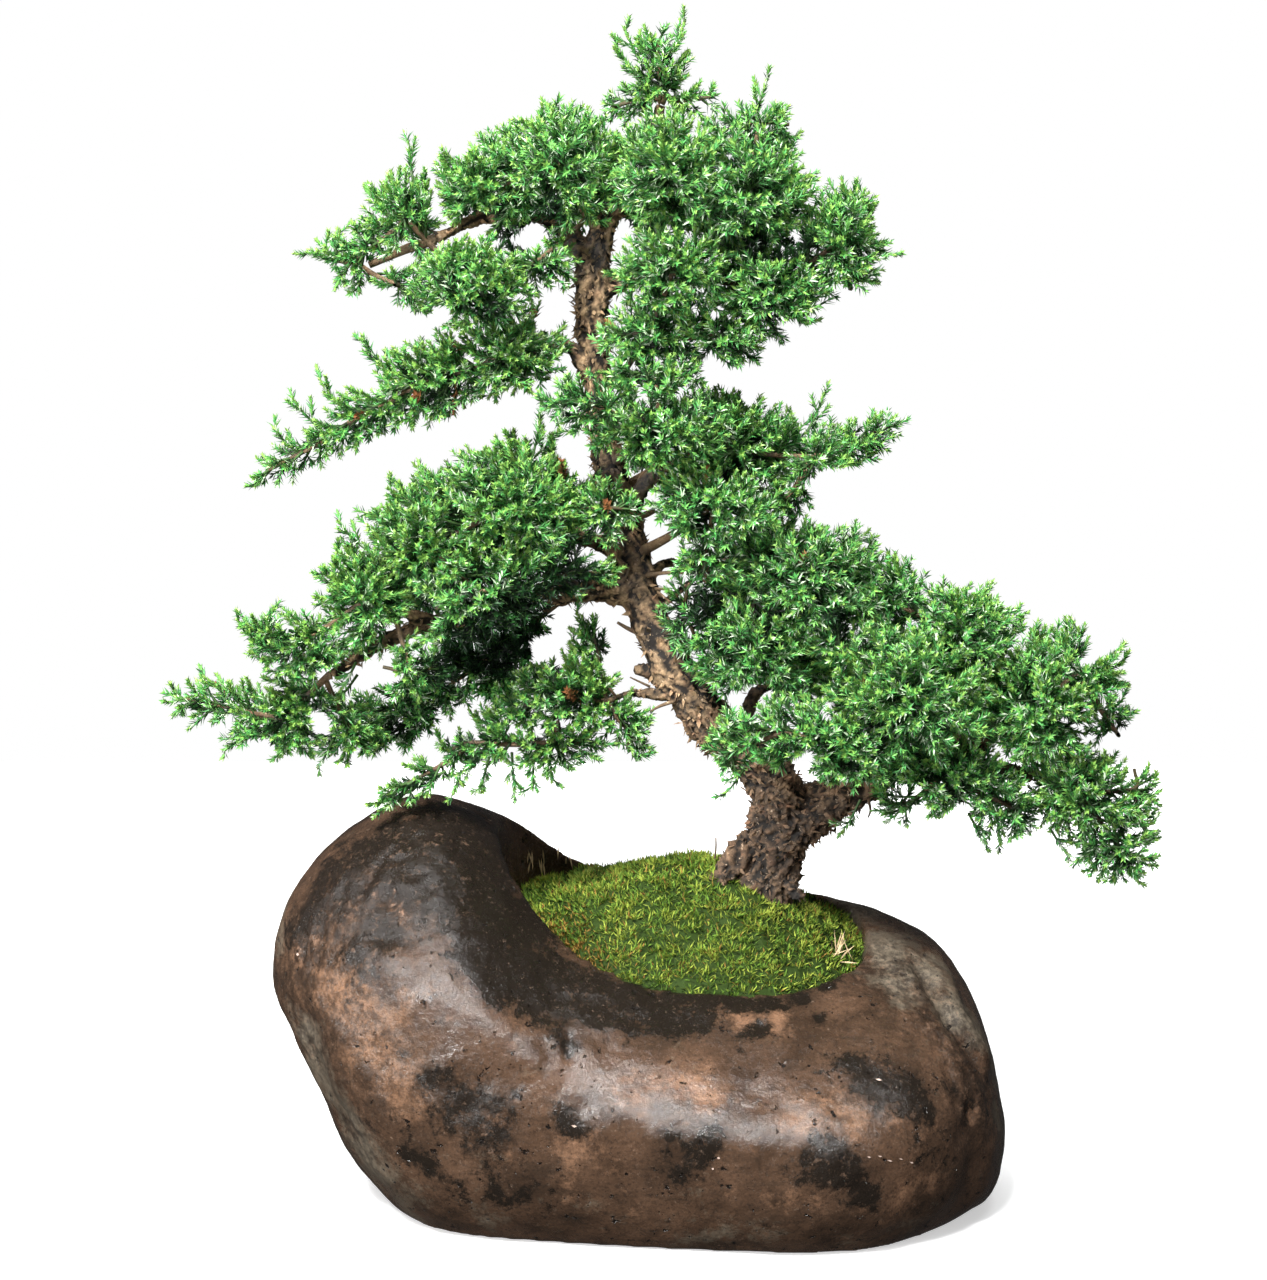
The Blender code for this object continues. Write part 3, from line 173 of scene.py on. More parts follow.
# Pale chips in the glaze: place, length and width
POT_CHIPS = (
    (92, -75, 68, 2.6, 1.0), (-26, -89, 53, 2.2, 1.0), (-136, -33, 107, 2.4, 1.4),
    (30, -94, 42, 1.3, 1.0), (28, -94, 39, 1.1, 0.9), (87, -93, 43, 1.6, 0.6), (91, -92, 42, 2.0, 0.5),
    (96, -91, 41, 2.4, 0.6), (100, -89, 40, 1.8, 0.5), (104, -87, 39, 2.0, 0.6), (-72, 6, 156, 3.4, 0.5),
    (-61, 5, 152, 3.0, 0.5))
CHIP_LIFT = 0.15
CHIP_LINE = (0.2, 0.3, 0.9)
CHIP_FOLD = -0.1

# Planting pocket
POCKET_CENTRE = (20.5, 5.0)
POCKET_HALF = (71.5, 50.0)
POCKET_ROUNDNESS = 2.4
POCKET_FLOOR = 22.0
POCKET_FLOOR_SCALE = 0.8
POCKET_RIM = 105.0
POCKET_CUT_TOP = 200.0
POCKET_SIDES = 96

# Ground under and in the moss
CREST = (24.0, 18.0, 135.0)
RIM_LEVEL = 106.0
RIM_RISE_TO_BACK = 0.30
RIM_FALL_TO_RIGHT = 0.09
MOUND_ROUNDNESS = 1.6
GAP = 0.3

# Moss
MOSS_RINGS = 26
MOSS_SIDES = 110
MOSS_SINK = 1.4
HUMMOCKS = ((13.0, 2.4), (5.0, 0.8))
TUFTS = 3500
TUFT_BLADES = 8
TUFT_RADIUS = 1.7
BLADE_LENGTH = (2.1, 4.4)
BLADE_WIDTH = 0.60
BLADE_SPREAD = 1.8
BLADE_CROWDING = 0.6
BLADE_JITTER = 0.3
BLADE_SHORTER = (1.15, 0.35)
BLADE_FOLD = 0.2
TRUNK_RING_IN_MOSS = 4
TRUNK_CLEARANCE = 1.0
MOSS_DIPS = ((-6, 42, 20, 3.0), (66, 32, 14, 4.5))
MOSS_OVERHANG = 1.04
BROWN_EDGE = ((-38, -26, 14), (-24, -34, 12), (-46, -12, 10))

# Tone of a tuft: shares of its patch, its height and chance, and the levels above which it is light
# or green. The share by height is painted light, lighter on the hummocks and darker in the hollows.
# A share of the blades is brown everywhere, and a larger one at the brown edge.
MOSS_PATCH_SIZE = 14.0
MOSS_PATCH_SHARES = (0.4, 0.25, 0.4)
MOSS_LEVELS = (0.1, -0.55)
MOSS_BROWN_SHARES = (0.06, 0.7)

# Straws as (x, y, radius, count), and rootlets on the pocket's wall
STRAWS = (79.0, -8.0, 9.0, 18)
STRAW_LEAN = (0.35, -0.1, 1.0)
STRAW_JITTER = 0.4
STRAW_WIDTH = 0.7
STRAW_LENGTH = (7.0, 13.0)
ROOTLET_ANGLES = (math.radians(127.0), math.radians(150.0))
ROOTLET_TOPS = (127.0, 134.0)
ROOTLETS = 11
ROOTLET_LENGTH = (5.0, 10.0)
ROOTLET_INSET = 0.8
ROOTLET_FALL = (0.0, -0.1, -1.0)
ROOTLET_JITTER = 0.15

# Trunk: stations from the ground to the tip, as (x, y, z, radius)
TRUNK_STATIONS = (
    (50, 12, 107, 14.2), (51, 12, 122, 12.4), (56, 10, 142, 11.8), (57, 8, 157, 11.0), (52, 5, 171, 9.6),
    (35, 2, 187, 8.3), (20, -1, 206, 8.1), (9, 0, 226, 7.9), (1, 3, 243, 7.7), (-5, 6, 265, 8.0),
    (-10, 7, 287, 6.9), (-14, 6, 307, 6.1), (-17, 4, 332, 5.5), (-19, 3, 366, 6.9), (-16, 3, 387, 5.0),
    (-7, 2, 404, 3.7), (2, 1, 421, 2.7), (8, 1, 439, 1.8))
TRUNK_RINGS = 30
TRUNK_FINER = 4
TRUNK_SIDES = 36
FLARE_HEIGHT = 20.0
FLARE_SPREAD = 0.22
FLARE_RIDGES = 5
FLARE_VALLEY = 0.35
FLARE_TURN = 0.4

# Boughs: name, the limb that carries it, radius at its foot and tip, and the route to its tip
BOUGHS = (
    ("bough_right", "trunk", 10.6, 2.6, ((85, 8, 165), (107, 3, 177), (135, 0, 176), (158, -4, 173))),
    ("bough_right_heart", "bough_right", 4.2, 2.6, ((99, -6, 185), (101, -10, 194))),
    ("bough_right_rise", "bough_right", 4.4, 2.4, ((108, 14, 186), (116, 14, 209))),
    ("bough_right_outer", "bough_right", 4.0, 2.6, ((138, 4, 185), (149, 0, 193))),
    ("bough_right_under", "bough_right", 2.8, 1.8, ((114, -7, 171), (117, -14, 173))),
    ("bough_right_front", "bough_right", 3.6, 2.0, ((83, -14, 177), (79, -26, 184))),
    ("bough_back_right", "bough_right", 4.0, 2.6, ((131, 20, 181), (128, 36, 188))),
    ("bough_back_low", "trunk", 3.2, 2.2, ((45, 18, 200), (54, 24, 206))),
    ("bough_mid", "trunk", 4.4, 2.8, ((24, -4, 254), (42, -6, 252))),
    ("bough_back_high", "trunk", 4.0, 2.6, ((12, 22, 256), (37, 40, 247))),
    ("bough_mid_right", "trunk", 3.6, 2.2, ((6, 4, 295), (21, 0, 301))),
    ("bough_crown_right", "trunk", 3.8, 2.2, ((4, 2, 375), (30, -4, 371))),
    ("bough_crown_left", "trunk", 4.0, 1.9, ((-39, 8, 396), (-63, 4, 395), (-80, -4, 387))),
    ("bough_tier", "trunk", 2.8, 2.0, ((-28, 0, 345), (-36, -2, 344))),
    ("bough_left", "trunk", 5.6, 2.2, ((-32, -4, 249), (-64, -8, 240), (-95, -12, 232), (-122, -14, 216))),
    ("bough_left_up", "bough_left", 2.8, 2.0, ((-91, -15, 240), (-96, -18, 245))),
    ("bough_left_rear", "bough_left", 4.6, 3.0, ((-24, 8, 247), (-32, 18, 241))),
    ("bough_back_left", "trunk", 4.4, 2.6, ((-20, 26, 265), (-33, 38, 265))),
    ("bough_low", "trunk", 2.4, 1.6, ((-1, -6, 207), (-11, -12, 206))),
)

# Boughs that look thinner than their solids, and forms too small for the solids: roots at the trunk's
# foot, swellings as (x, y, z, radius, height), and dead stubs and bare twigs with their two radii
THINNER = {"bough_mid": 0.42, "bough_back_high": 0.6, "bough_low": 0.8}
ROOTS = (
    (6.0, 3.0, ((48, 8, 142), (40, 6, 136), (33, 5, 129), (28, 4, 122))),
    (4.0, 2.0, ((55, 6, 134), (61, 2, 127), (64, 0, 121))),
    (1.9, 0.9, ((8, -1, 215), (2, -2, 216), (-1, -2, 217))))
SWELLINGS = ((6, -2, 214, 8, 2.8), (22, 0, 190, 9, 1.6), (44, 6, 149, 8, 2.2), (38, 6, 134, 9, 2.0),
             (91, 0, 166, 9, 2.0), (-3, -3, 249, 5, 0.8))
STUBS = (
    (1.3, 0.6, ((3, 0, 229), (-4, -1, 232), (-9, -2, 235))),
    (0.6, 0.3, ((4, -2, 209), (-4, -3, 213))),
    (0.7, 0.4, ((-9, -12, 206), (-16, -12, 215), (-20, -12, 222))),
    (1.0, 0.4, ((14, -6, 204), (8, -7, 202), (4, -8, 200))),
    (1.6, 1.2, ((-4, 2, 276), (2, 0, 278), (6, 0, 280))),
    (0.9, 0.6, ((2, -2, 254), (13, -8, 256), (25, -9, 255))),
    (0.7, 0.3, ((6, -5, 249), (11, -7, 249), (15, -8, 246))),
    (0.6, 0.3, ((7, -6, 248), (11, -8, 245), (14, -9, 243))),
    (2.4, 1.5, ((-80, -4, 387), (-92, -5, 383), (-106, -6, 377))),
    (0.5, 0.3, ((30, 14, 131), (31, 13, 139), (31, 13, 144))),
    (0.7, 0.3, ((92, 0, 163), (93, 0, 158), (92, 0, 155))),
    (0.6, 0.4, ((-5, -5, 258), (-9, -6, 262))),
    (0.6, 0.4, ((-4, -5, 258), (-6, -6, 253))))
BOUGH_STEP = 12.0
BOUGH_FINER = 3
BOUGH_SIDES = 20
FEWEST_BOUGH_RINGS = 4
TAPER_POWER = 0.8
COLLAR = 0.25
COLLAR_FADE = 4

# Bark
BARK_VOXEL = 0.95
BARK_STRIP = 2.8
BARK_STRETCH = 6.0
BARK_SLANT = (0.36, 0.48, 0.80)
BARK_PLATES = 3.0
PLATE_EDGE = (0.55, 0.45)
PLATE_DEPTH = 1.6
BARK_DEPTH = 0.09
BARK_DEPTH_LEAST = 0.35
BARK_GRIT = (1.7, 0.45)
KNOB_SIZE = 9.0
KNOB_DEPTH = 0.15
SMOOTHER_BARK = (8, 0, 242, 26)
SMOOTHER_SHARE = 0.6
FLAKES = 5200
FLAKE_LENGTH = (1.8, 5.0)
FLAKE_WIDTH = (0.9, 2.2)
FLAKE_LIFT = (math.radians(6.0), math.radians(58.0))
FLAKE_SINK = 0.45
FLAKE_TURN = 0.6
FLAKE_FOLD = 0.25
FLAKE_SHADE = (-0.3, 1.0)
GRIT_SHADE = 0.5
LIMB_BATCH = 4000

# Thin limbs carry fewer flakes: the radius with all of them, and the least and greatest share
FEWER_FLAKES = (6.0, 0.3, 1.0)

# Masses of foliage: name, the limb that carries it, and its lobes. A lobe is a rounded space given
# by its centre (x, y, z), half-sizes (along, across, up) and tilt in degrees.
MASSES = (
    ("leader", "trunk_tip", (
        (7, 0, 454, 13, 13, 16, 0), (-4, 0, 440, 13, 12, 9, 20), (21, 2, 441, 12, 10, 8, 10))),
    ("crown_left", "trunk", (
        (-31, -6, 415, 27, 32, 25, 0), (-61, -6, 407, 21, 26, 21, 12), (-40, -16, 379, 15, 18, 13, 10))),
    ("crown_left_end", "bough_crown_left", (
        (-91, -8, 395, 18, 20, 20, 15), (-112, -10, 379, 16, 15, 14, -10),
        (-95, -14, 370, 13, 14, 12, 0), (-64, -26, 370, 24, 24, 19, 5))),
    ("crown_right", "trunk", (
        (11, -18, 412, 26, 30, 25, 0), (42, -8, 407, 26, 34, 27, 0), (46, -4, 430, 22, 16, 11, 6))),
    ("crown_right_end", "bough_crown_right", (
        (49, -12, 368, 23, 26, 21, 10), (78, -4, 386, 18, 28, 24, -10), (82, -6, 369, 12, 18, 12, 0))),
    ("crown_right_under", "trunk", (
        (3, -16, 350, 20, 20, 14, 0), (13, -30, 377, 24, 20, 19, 0), (31, -16, 350, 19, 20, 13, -5))),
    ("tier_left", "bough_tier", (
        (-53, -6, 342, 25, 26, 18, 20), (-84, -10, 332, 25, 22, 17, 22),
        (-112, -12, 317, 19, 16, 12, 30), (-137, -14, 302, 20, 10, 9, 28))),
    ("mid_front", "trunk", (
        (8, -28, 316, 27, 26, 19, 0), (-22, -34, 326, 17, 14, 12, 0), (6, -26, 335, 23, 18, 11, 0))),
    ("mid_right", "bough_mid_right", (
        (37, -4, 305, 25, 30, 24, 0), (68, -8, 302, 21, 22, 15, 12), (90, -8, 310, 15, 13, 9, 30),
        (58, -10, 286, 13, 14, 9, 0))),
    ("mid_low", "trunk", (
        (29, -26, 285, 26, 24, 17, -10), (25, -28, 264, 18, 14, 10, 0))),
    ("left_dome", "trunk", (
        (-50, -16, 284, 34, 36, 28, 15), (-83, -18, 269, 27, 32, 29, 20),
        (-62, -36, 252, 34, 24, 20, 20), (-26, -30, 259, 18, 14, 11, 0))),
    ("left_collar", "trunk", (
        (-14, -30, 284, 14, 14, 14, 0),)),
    ("left_shoulder", "bough_left_up", (
        (-105, -22, 249, 23, 26, 24, 10), (-136, -24, 229, 27, 18, 15, -25),
        (-90, -32, 222, 19, 16, 13, 0))),
    ("left_end", "bough_left", (
        (-141, -16, 199, 27, 22, 17, -5), (-170, -16, 205, 20, 12, 10, -8),
        (-116, -6, 193, 15, 16, 14, 0))),
    ("left_rear", "bough_left_rear", (
        (-57, 22, 220, 27, 26, 21, 30), (-28, 28, 240, 14, 18, 15, 40), (-96, 22, 195, 26, 20, 16, 20))),
    ("low_spray", "bough_low", (
        (-32, -14, 207, 26, 24, 19, 15), (-34, -16, 189, 23, 16, 11, 5), (-5, -14, 194, 12, 14, 15, 0),
        (-18, -10, 228, 10, 12, 12, 70), (-66, -16, 189, 20, 16, 13, 20),
        (-90, -18, 174, 17, 10, 8, 25))),
    ("right_upper", "bough_mid", (
        (65, -10, 256, 33, 36, 26, -10), (44, -14, 229, 28, 30, 25, 0), (20, -10, 240, 12, 16, 17, 10))),
    ("right_crest", "bough_right_rise", (
        (127, 0, 232, 28, 34, 20, -10), (98, 4, 244, 18, 24, 17, 0))),
    ("right_heart", "bough_right_heart", (
        (104, -24, 211, 34, 40, 30, -10), (80, -26, 229, 16, 20, 12, 0))),
    ("right_outer", "bough_right_outer", (
        (158, -8, 205, 28, 36, 28, -10), (175, -4, 215, 19, 26, 20, -10),
        (190, -6, 192, 10, 16, 14, 0))),
    ("right_end", "bough_right", (
        (176, -8, 168, 26, 28, 20, -15), (191, -10, 147, 17, 18, 17, -20),
        (198, -6, 168, 12, 14, 15, 0))),
    ("right_under", "bough_right_under", (
        (122, -18, 177, 31, 24, 17, -10), (147, -14, 163, 17, 18, 13, -10),
        (106, -16, 164, 13, 14, 10, 0))),
    ("right_front", "bough_right_front", (
        (82, -40, 193, 20, 20, 17, 0), (56, -40, 198, 26, 18, 15, 0), (37, -36, 191, 11, 12, 13, 0))),
    ("back_crown", "trunk", (
        (0, 40, 405, 34, 28, 23, 0), (42, 38, 393, 20, 26, 21, 0), (-44, 34, 405, 20, 22, 20, 0))),
    ("back_mid", "trunk", (
        (21, 44, 304, 27, 28, 19, 0), (51, 38, 300, 15, 22, 15, 0))),
    ("back_left", "bough_back_left", (
        (-56, 50, 266, 35, 30, 23, 15), (-89, 44, 250, 21, 26, 19, 20))),
    ("back_right_high", "bough_back_high", (
        (58, 54, 242, 33, 32, 24, -10),)),
    ("back_right", "bough_back_right", (
        (119, 54, 198, 35, 32, 24, -10), (158, 48, 195, 19, 26, 19, -10))),
    ("back_low", "bough_back_low", (
        (66, 34, 212, 23, 24, 18, 0),)),
)

# Pieces into which the needles are joined, and the masses of each
NEEDLE_PIECES = {
    "needles_crown": ("leader", "crown_left", "crown_left_end", "crown_right", "crown_right_end",
                      "crown_right_under"),
    "needles_left": ("tier_left", "left_dome", "left_collar", "left_shoulder", "left_end", "left_rear",
                     "low_spray"),
    "needles_middle": ("mid_front", "mid_right", "mid_low", "right_upper", "right_front"),
    "needles_right": ("right_crest", "right_heart", "right_outer", "right_end", "right_under"),
    "needles_back": ("back_crown", "back_mid", "back_left", "back_right_high", "back_right", "back_low"),
}

# Growth of a mass: stems and twigs
STEM_RADIUS = 2.4
STEM_LEAD = 3.0
STEM_FIT = 0.95
BARK_MARGIN = 1.3
TWIG_RADIUS = 0.9
TWIG_FOOT_RADIUS = 1.3
TWIG_SIDES = 6
TWIG_RINGS = 6
TWIG_SAG = (0.0, 0.0, 1.0)
STEM_RINGS = (9, 8)
STEM_SAG = (0.0, 0.0, 1.5)
STUB_RINGS = 7
ROOT_RINGS = 9
SPACE_MARGIN = 0.05
LIMB_CLEARANCE = 0.8
BURIED_DEPTH = 0.85
GOLDEN_ANGLE = math.pi * (3.0 - math.sqrt(5.0))

# Branchlets
BRANCHLET_SPACING = 9.2
FEWEST_BRANCHLETS = 10
SPINE_POINTS = 17
SPINE_AHEAD = 0.55
SPINE_DEPTH = 0.9
SPINE_BOTH_WAYS = 0.6
LEAVING_COSINE = 0.66
LEAVING_NEAR = 0.012
LEAVING_USED = 0.07
DIRECTION_JITTER = 0.13
BRANCHLET_REACH = 0.93
REACH_JITTER = 0.09
HUMMOCK_SIZE = 17.0
HUMMOCK_REACH = 0.20
REACH_STEPS = (1.0, 0.9, 0.8, 0.68)
BRANCHLET_SHORTEST = 5.0
BRANCHLET_AHEAD = 0.10
BRANCHLET_RISE = 0.10
BRANCHLET_RADIUS = (0.7, 0.3)
BRANCHLET_BARE = 0.16
BRANCHLET_RINGS = 3
BRANCHLET_SIDES = 3
BRANCHLET_CHECKS = 4

# Side shoots
SIDE_STEP = 3.6
FEWEST_SIDES = 2
SIDE_FIRST = 0.30
SIDE_LAST = 0.96
SIDE_JITTER = 0.03
SIDE_LENGTH = 9.0
SIDE_LENGTHS = (0.7, 1.25)
SIDE_TAPER = 0.5
SIDE_SHARE = 0.5
SIDE_ANGLE = math.radians(41.0)
SIDE_ANGLES = (0.8, 1.2)
SIDE_LIFT = (0.15, 0.55)
SIDE_AHEAD = 0.15
SIDE_BARE = 0.04
SIDE_TONE_JITTER = 0.25
SIDE_RISE = 0.22
SIDE_AXIS_WIDTH = 0.9
DEEPEST_REACH = 1.12

# Needles, in whorls along the shoots
WHORL_STEP = 1.42
WARM_CROWDING = 0.30
WHORL_CROWDING = 0.75
WHORL_NEEDLES = 3
WHORL_START = 0.7
WHORL_JITTER = 0.04
FEWEST_WHORLS = 3
NEEDLE_LENGTH = 4.2
NEEDLE_TIP_LENGTH = 0.60
NEEDLE_WIDTH = 1.0
NEEDLE_FOLD = 0.28
NEEDLE_BELLY = 0.42
NEEDLE_SPREAD = (math.radians(41.0), math.radians(31.0))
NEEDLE_JITTER = 0.16
NEEDLE_TURN = 0.4
NEEDLE_RANGE = (0.85, 1.15)
OPENNESS = (1.03, 0.17)
OPENNESS_RANGE = (0.8, 1.3)
ASKEW = (0.31, 0.17, 0.93)

# Warmth of a branchlet, which makes its needles yellower and closer: by patch, direction and mass.
# By direction it is painted light: branchlets that face up are lighter, and those that face down darker.
TONE_PATCH = 26.0
PAINTED_LIGHT_RISE = 0.35
TONE_JITTER = 0.3
# By mass: the low value of left_rear is painted shade for the mass that lies behind the left dome.
WARMTH_AND_SHADE_BY_MASS = {
    "left_end": 0.55, "left_shoulder": 0.4, "tier_left": 0.4, "crown_left_end": 0.4, "low_spray": 0.4,
    "crown_left": 0.2, "leader": 0.2, "right_end": 0.2, "left_dome": 0.1, "right_upper": -0.35,
    "mid_low": -0.25, "right_front": -0.2, "crown_right_under": -0.15, "left_rear": -0.6}
YOUNG_WIDTH = 0.22

# Circles seen from the front: x and z at depth 0, and radius. The crown is open in the first, up to
# a bough at the given depth in the second, and lies in black shade in the third.
SKY_HOLES = (
    (-11, 233, 6), (-8, 225, 5), (-31, 229, 4), (-38, 221, 3), (-4, 217, 4), (-12, 218, 4),
    (-20, 243, 4), (77, 292, 5), (72, 283, 4), (84, 280, 5), (-80, 191, 4), (-88, 184, 4), (-73, 197, 3),
    (186, 225, 5), (199, 182, 4), (192, 187, 4), (-107, 213, 5), (-101, 219, 3), (-112, 172, 3),
    (38, 203, 4), (46, 206, 5), (10, 263, 5), (6, 271, 3), (-44, 387, 5), (-29, 304, 5), (-27, 297, 3),
    (43, 325, 4), (-53, 324, 4), (64, 175, 5), (-37, 354, 4), (-16, 363, 5), (-106, 285, 5),
    (97, 396, 6), (97, 406, 6), (83, 362, 6), (66, 424, 5), (-73, 428, 5), (130, 158, 4), (-152, 183, 5),
    (-160, 226, 4), (-37, 355, 5), (-106, 365, 4), (-129, 196, 4), (-46, 442, 4), (128, 252, 4),
    (-78, 358, 4), (-14, 446, 4), (-95, 173, 4), (29, 335, 6), (36, 332, 5), (-40, 225, 6),
    (-126, 373, 6), (-156, 217, 4), (-10, 180, 5), (-71, 427, 5), (-18, 442, 5), (-29, 239, 6),
    (-44, 438, 5), (-41, 390, 5), (-66, 393, 4), (-82, 180, 4), (-165, 195, 3), (-152, 242, 5),
    (-110, 331, 4), (-102, 364, 4), (112, 157, 4), (-100, 173, 4), (-104, 412, 4), (-74, 192, 4),
    (73, 278, 5), (147, 244, 4), (68, 418, 5), (43, 204, 5), (96, 391, 4), (1, 290, 4), (180, 221, 4),
    (59, 352, 4), (60, 431, 4), (-62, 309, 4), (-70, 422, 4), (-6, 392, 4), (200, 175, 4),
    (-101, 212, 4), (9, 269, 4), (69, 289, 4))
BOUGH_HOLES = (
    (-84, 239, 4, -2), (-98, 230, 5, -4), (-91, 235, 4, -3), (-118, 216, 4, -6), (-125, 212, 5, -8),
    (-82, 386, 4, 4), (-92, 381, 4, 2), (-104, 376, 4, 0))
BLACK_SHADE = (
    (-22, 254, 7), (-32, 251, 9), (-42, 245, 10), (-51, 238, 10), (-60, 230, 10), (-70, 223, 9),
    (-78, 216, 7), (-47, 229, 9), (-57, 219, 8), (-24, 265, 5), (-52, 387, 5), (-64, 392, 4),
    (-36, 398, 6), (60, 385, 6), (46, 386, 5), (-22, 357, 4), (-58, 361, 5), (26, 243, 7), (19, 235, 5),
    (80, 236, 5))
OPEN_THROUGH = 200
SHADE_THROUGH = 40
OPENINGS = BOUGH_HOLES + tuple((*circle, OPEN_THROUGH) for circle in SKY_HOLES)
SHADED = tuple((*circle, SHADE_THROUGH) for circle in BLACK_SHADE)

# Sprigs that reach out of the lobes where the photo shows them: foot and tip, by mass
SPRIGS = {
    "low_spray": (
        ((-42, -16, 185), (-43, -17, 171)), ((-51, -16, 185), (-50, -16, 170)),
        ((-36, -16, 184), (-35, -17, 174)), ((-60, -16, 183), (-64, -17, 170)),
        ((-71, -17, 178), (-74, -17, 169)), ((-92, -18, 170), (-103, -18, 162)),
        ((-82, -18, 175), (-88, -18, 168)), ((-17, -10, 224), (-25, -10, 240)),
        ((-15, -10, 221), (-19, -10, 234)), ((-70, -17, 181), (-79, -18, 190)),
        ((-66, -17, 183), (-72, -18, 191)), ((-80, -17, 176), (-90, -18, 179)),
        ((-88, -18, 176), (-94, -18, 171)), ((-96, -18, 170), (-104, -18, 165)),
        ((-79, -17, 181), (-84, -18, 171)), ((-84, -18, 175), (-93, -18, 171)),
        ((-90, -19, 174), (-99, -19, 169)), ((-77, -19, 178), (-86, -20, 175))),
    "left_end": (
        ((-112, -14, 216), (-120, -16, 206)), ((-122, -14, 190), (-128, -14, 179)),
        ((-151, -14, 197), (-165, -15, 186)), ((-158, -16, 208), (-172, -16, 215))),
    "leader": (((2, 0, 452), (-6, 0, 468)), ((10, 0, 454), (17, 0, 470)), ((0, -2, 448), (-9, -2, 461))),
    "crown_right": (((44, -4, 433), (49, -4, 448)),),
    "crown_right_end": (((88, -4, 386), (99, -4, 381)),),
    "right_under": (
        ((142, -14, 161), (144, -14, 148)), ((131, -14, 160), (138, -14, 148)),
        ((88, -12, 165), (81, -12, 152))),
    "crown_left_end": (
        ((-94, -12, 369), (-84, -12, 359)), ((-117, -10, 382), (-129, -10, 382)),
        ((-88, -8, 408), (-90, -8, 424))),
    "crown_left": (((-45, -14, 374), (-42, -14, 362)), ((-40, -12, 382), (-31, -12, 374))),
    "left_dome": (
        ((-42, -14, 302), (-32, -14, 313)), ((-42, -16, 303), (-39, -16, 317)),
        ((-107, -18, 266), (-118, -18, 277))),
    "left_shoulder": (((-112, -20, 222), (-118, -20, 211)),),
    "right_end": (
        ((164, -10, 153), (172, -10, 142)), ((176, -10, 151), (181, -10, 139)),
        ((191, -10, 144), (200, -10, 131))),
    "right_front": (((41, -36, 183), (33, -36, 172)),),
    "tier_left": (
        ((-133, -14, 303), (-143, -14, 313)), ((-98, -10, 336), (-109, -10, 348)),
        ((-125, -12, 313), (-136, -12, 325)), ((-115, -12, 320), (-125, -12, 332))),
    "mid_right": (((66, -8, 312), (72, -8, 326)),),
}
SPRIG_SAG = 0.12
SPRIG_TONE = (0.3, 0.3)

# Colours as linear red, green and blue
NEEDLE_TONES = {
    "needle_warm": (0.230, 0.410, 0.085),
    "needle_fresh": (0.145, 0.380, 0.082),
    "needle_cool": (0.072, 0.290, 0.070),
    "needle_pale": (0.520, 0.640, 0.450),
    "needle_deep_shade": (0.016, 0.066, 0.014),
    "needle_shade": (0.006, 0.021, 0.007),
    "needle_dry": (0.260, 0.110, 0.042),
}
WARM, FRESH, COOL, PALE, DEEP_SHADE, SHADE, DRY = range(len(NEEDLE_TONES))

# Tone of a needle: shares of its branchlet's warmth, its place along the shoot and chance, and the
# levels above which it is warm, fresh or cool. Towards a shoot's base the needles darken: the older
# needles' colour, and below the last level the deep tone, which is painted shade between the shoots.
LEVEL_SHARES = (0.45, 1.6, 0.40)
LEVEL_MIDDLE = 0.58
TONE_LEVELS = (0.6, -0.05, -0.55)
DEEP_LEVEL = 0.3
PALE_BEFORE = 0.85
PALE_SHARE = 0.13
DRY_SHARE = 0.002
SHADE_DEPTH = 0.6

# Colours of the moss, the twigs, the glaze and the bark
MOSS_TONES = {
    "moss_light": (0.270, 0.330, 0.050),
    "moss_green": (0.110, 0.200, 0.028),
    "moss_dark_and_shade": (0.024, 0.042, 0.009),
    "moss_brown": (0.250, 0.140, 0.035),
    "moss_straw": (0.560, 0.420, 0.250),
}
MOSS_LIGHT, MOSS_GREEN, MOSS_DARK_AND_SHADE, MOSS_BROWN, MOSS_STRAW = range(len(MOSS_TONES))
TWIG_TONES = {
    "twig_brown": ((0.110, 0.080, 0.035), (0.030, 0.026, 0.012)),
    "twig_green": ((0.070, 0.150, 0.035), (0.022, 0.060, 0.015)),
}
TWIG_BARK, TWIG_BROWN, TWIG_GREEN = range(1 + len(TWIG_TONES))
GLAZE_TONES = {
    "deep": (0.036, 0.021, 0.013), "brown": (0.098, 0.055, 0.033), "tan": (0.210, 0.115, 0.067),
    "streak": (0.028, 0.019, 0.013), "dark_grey_and_sheen": (0.036, 0.030, 0.021), "grey_and_sheen": (0.235, 0.190, 0.135),
    "soot_and_shade": (0.0075, 0.0060, 0.0045), "crack": (0.016, 0.011, 0.008), "crumb": (0.270, 0.165, 0.110),
    "grain": (0.014, 0.010, 0.008), "pale": (0.260, 0.180, 0.130), "pit": (0.008, 0.006, 0.005)}
BARK_TONES = {
    "foot_dark": (0.045, 0.026, 0.015), "foot_light": (0.330, 0.205, 0.120),
    "top_dark": (0.210, 0.125, 0.060), "top_light": (0.640, 0.440, 0.250),
    "rust": (0.190, 0.078, 0.040), "crack": (0.014, 0.010, 0.007), "painted_glint": (0.600, 0.440, 0.300)}

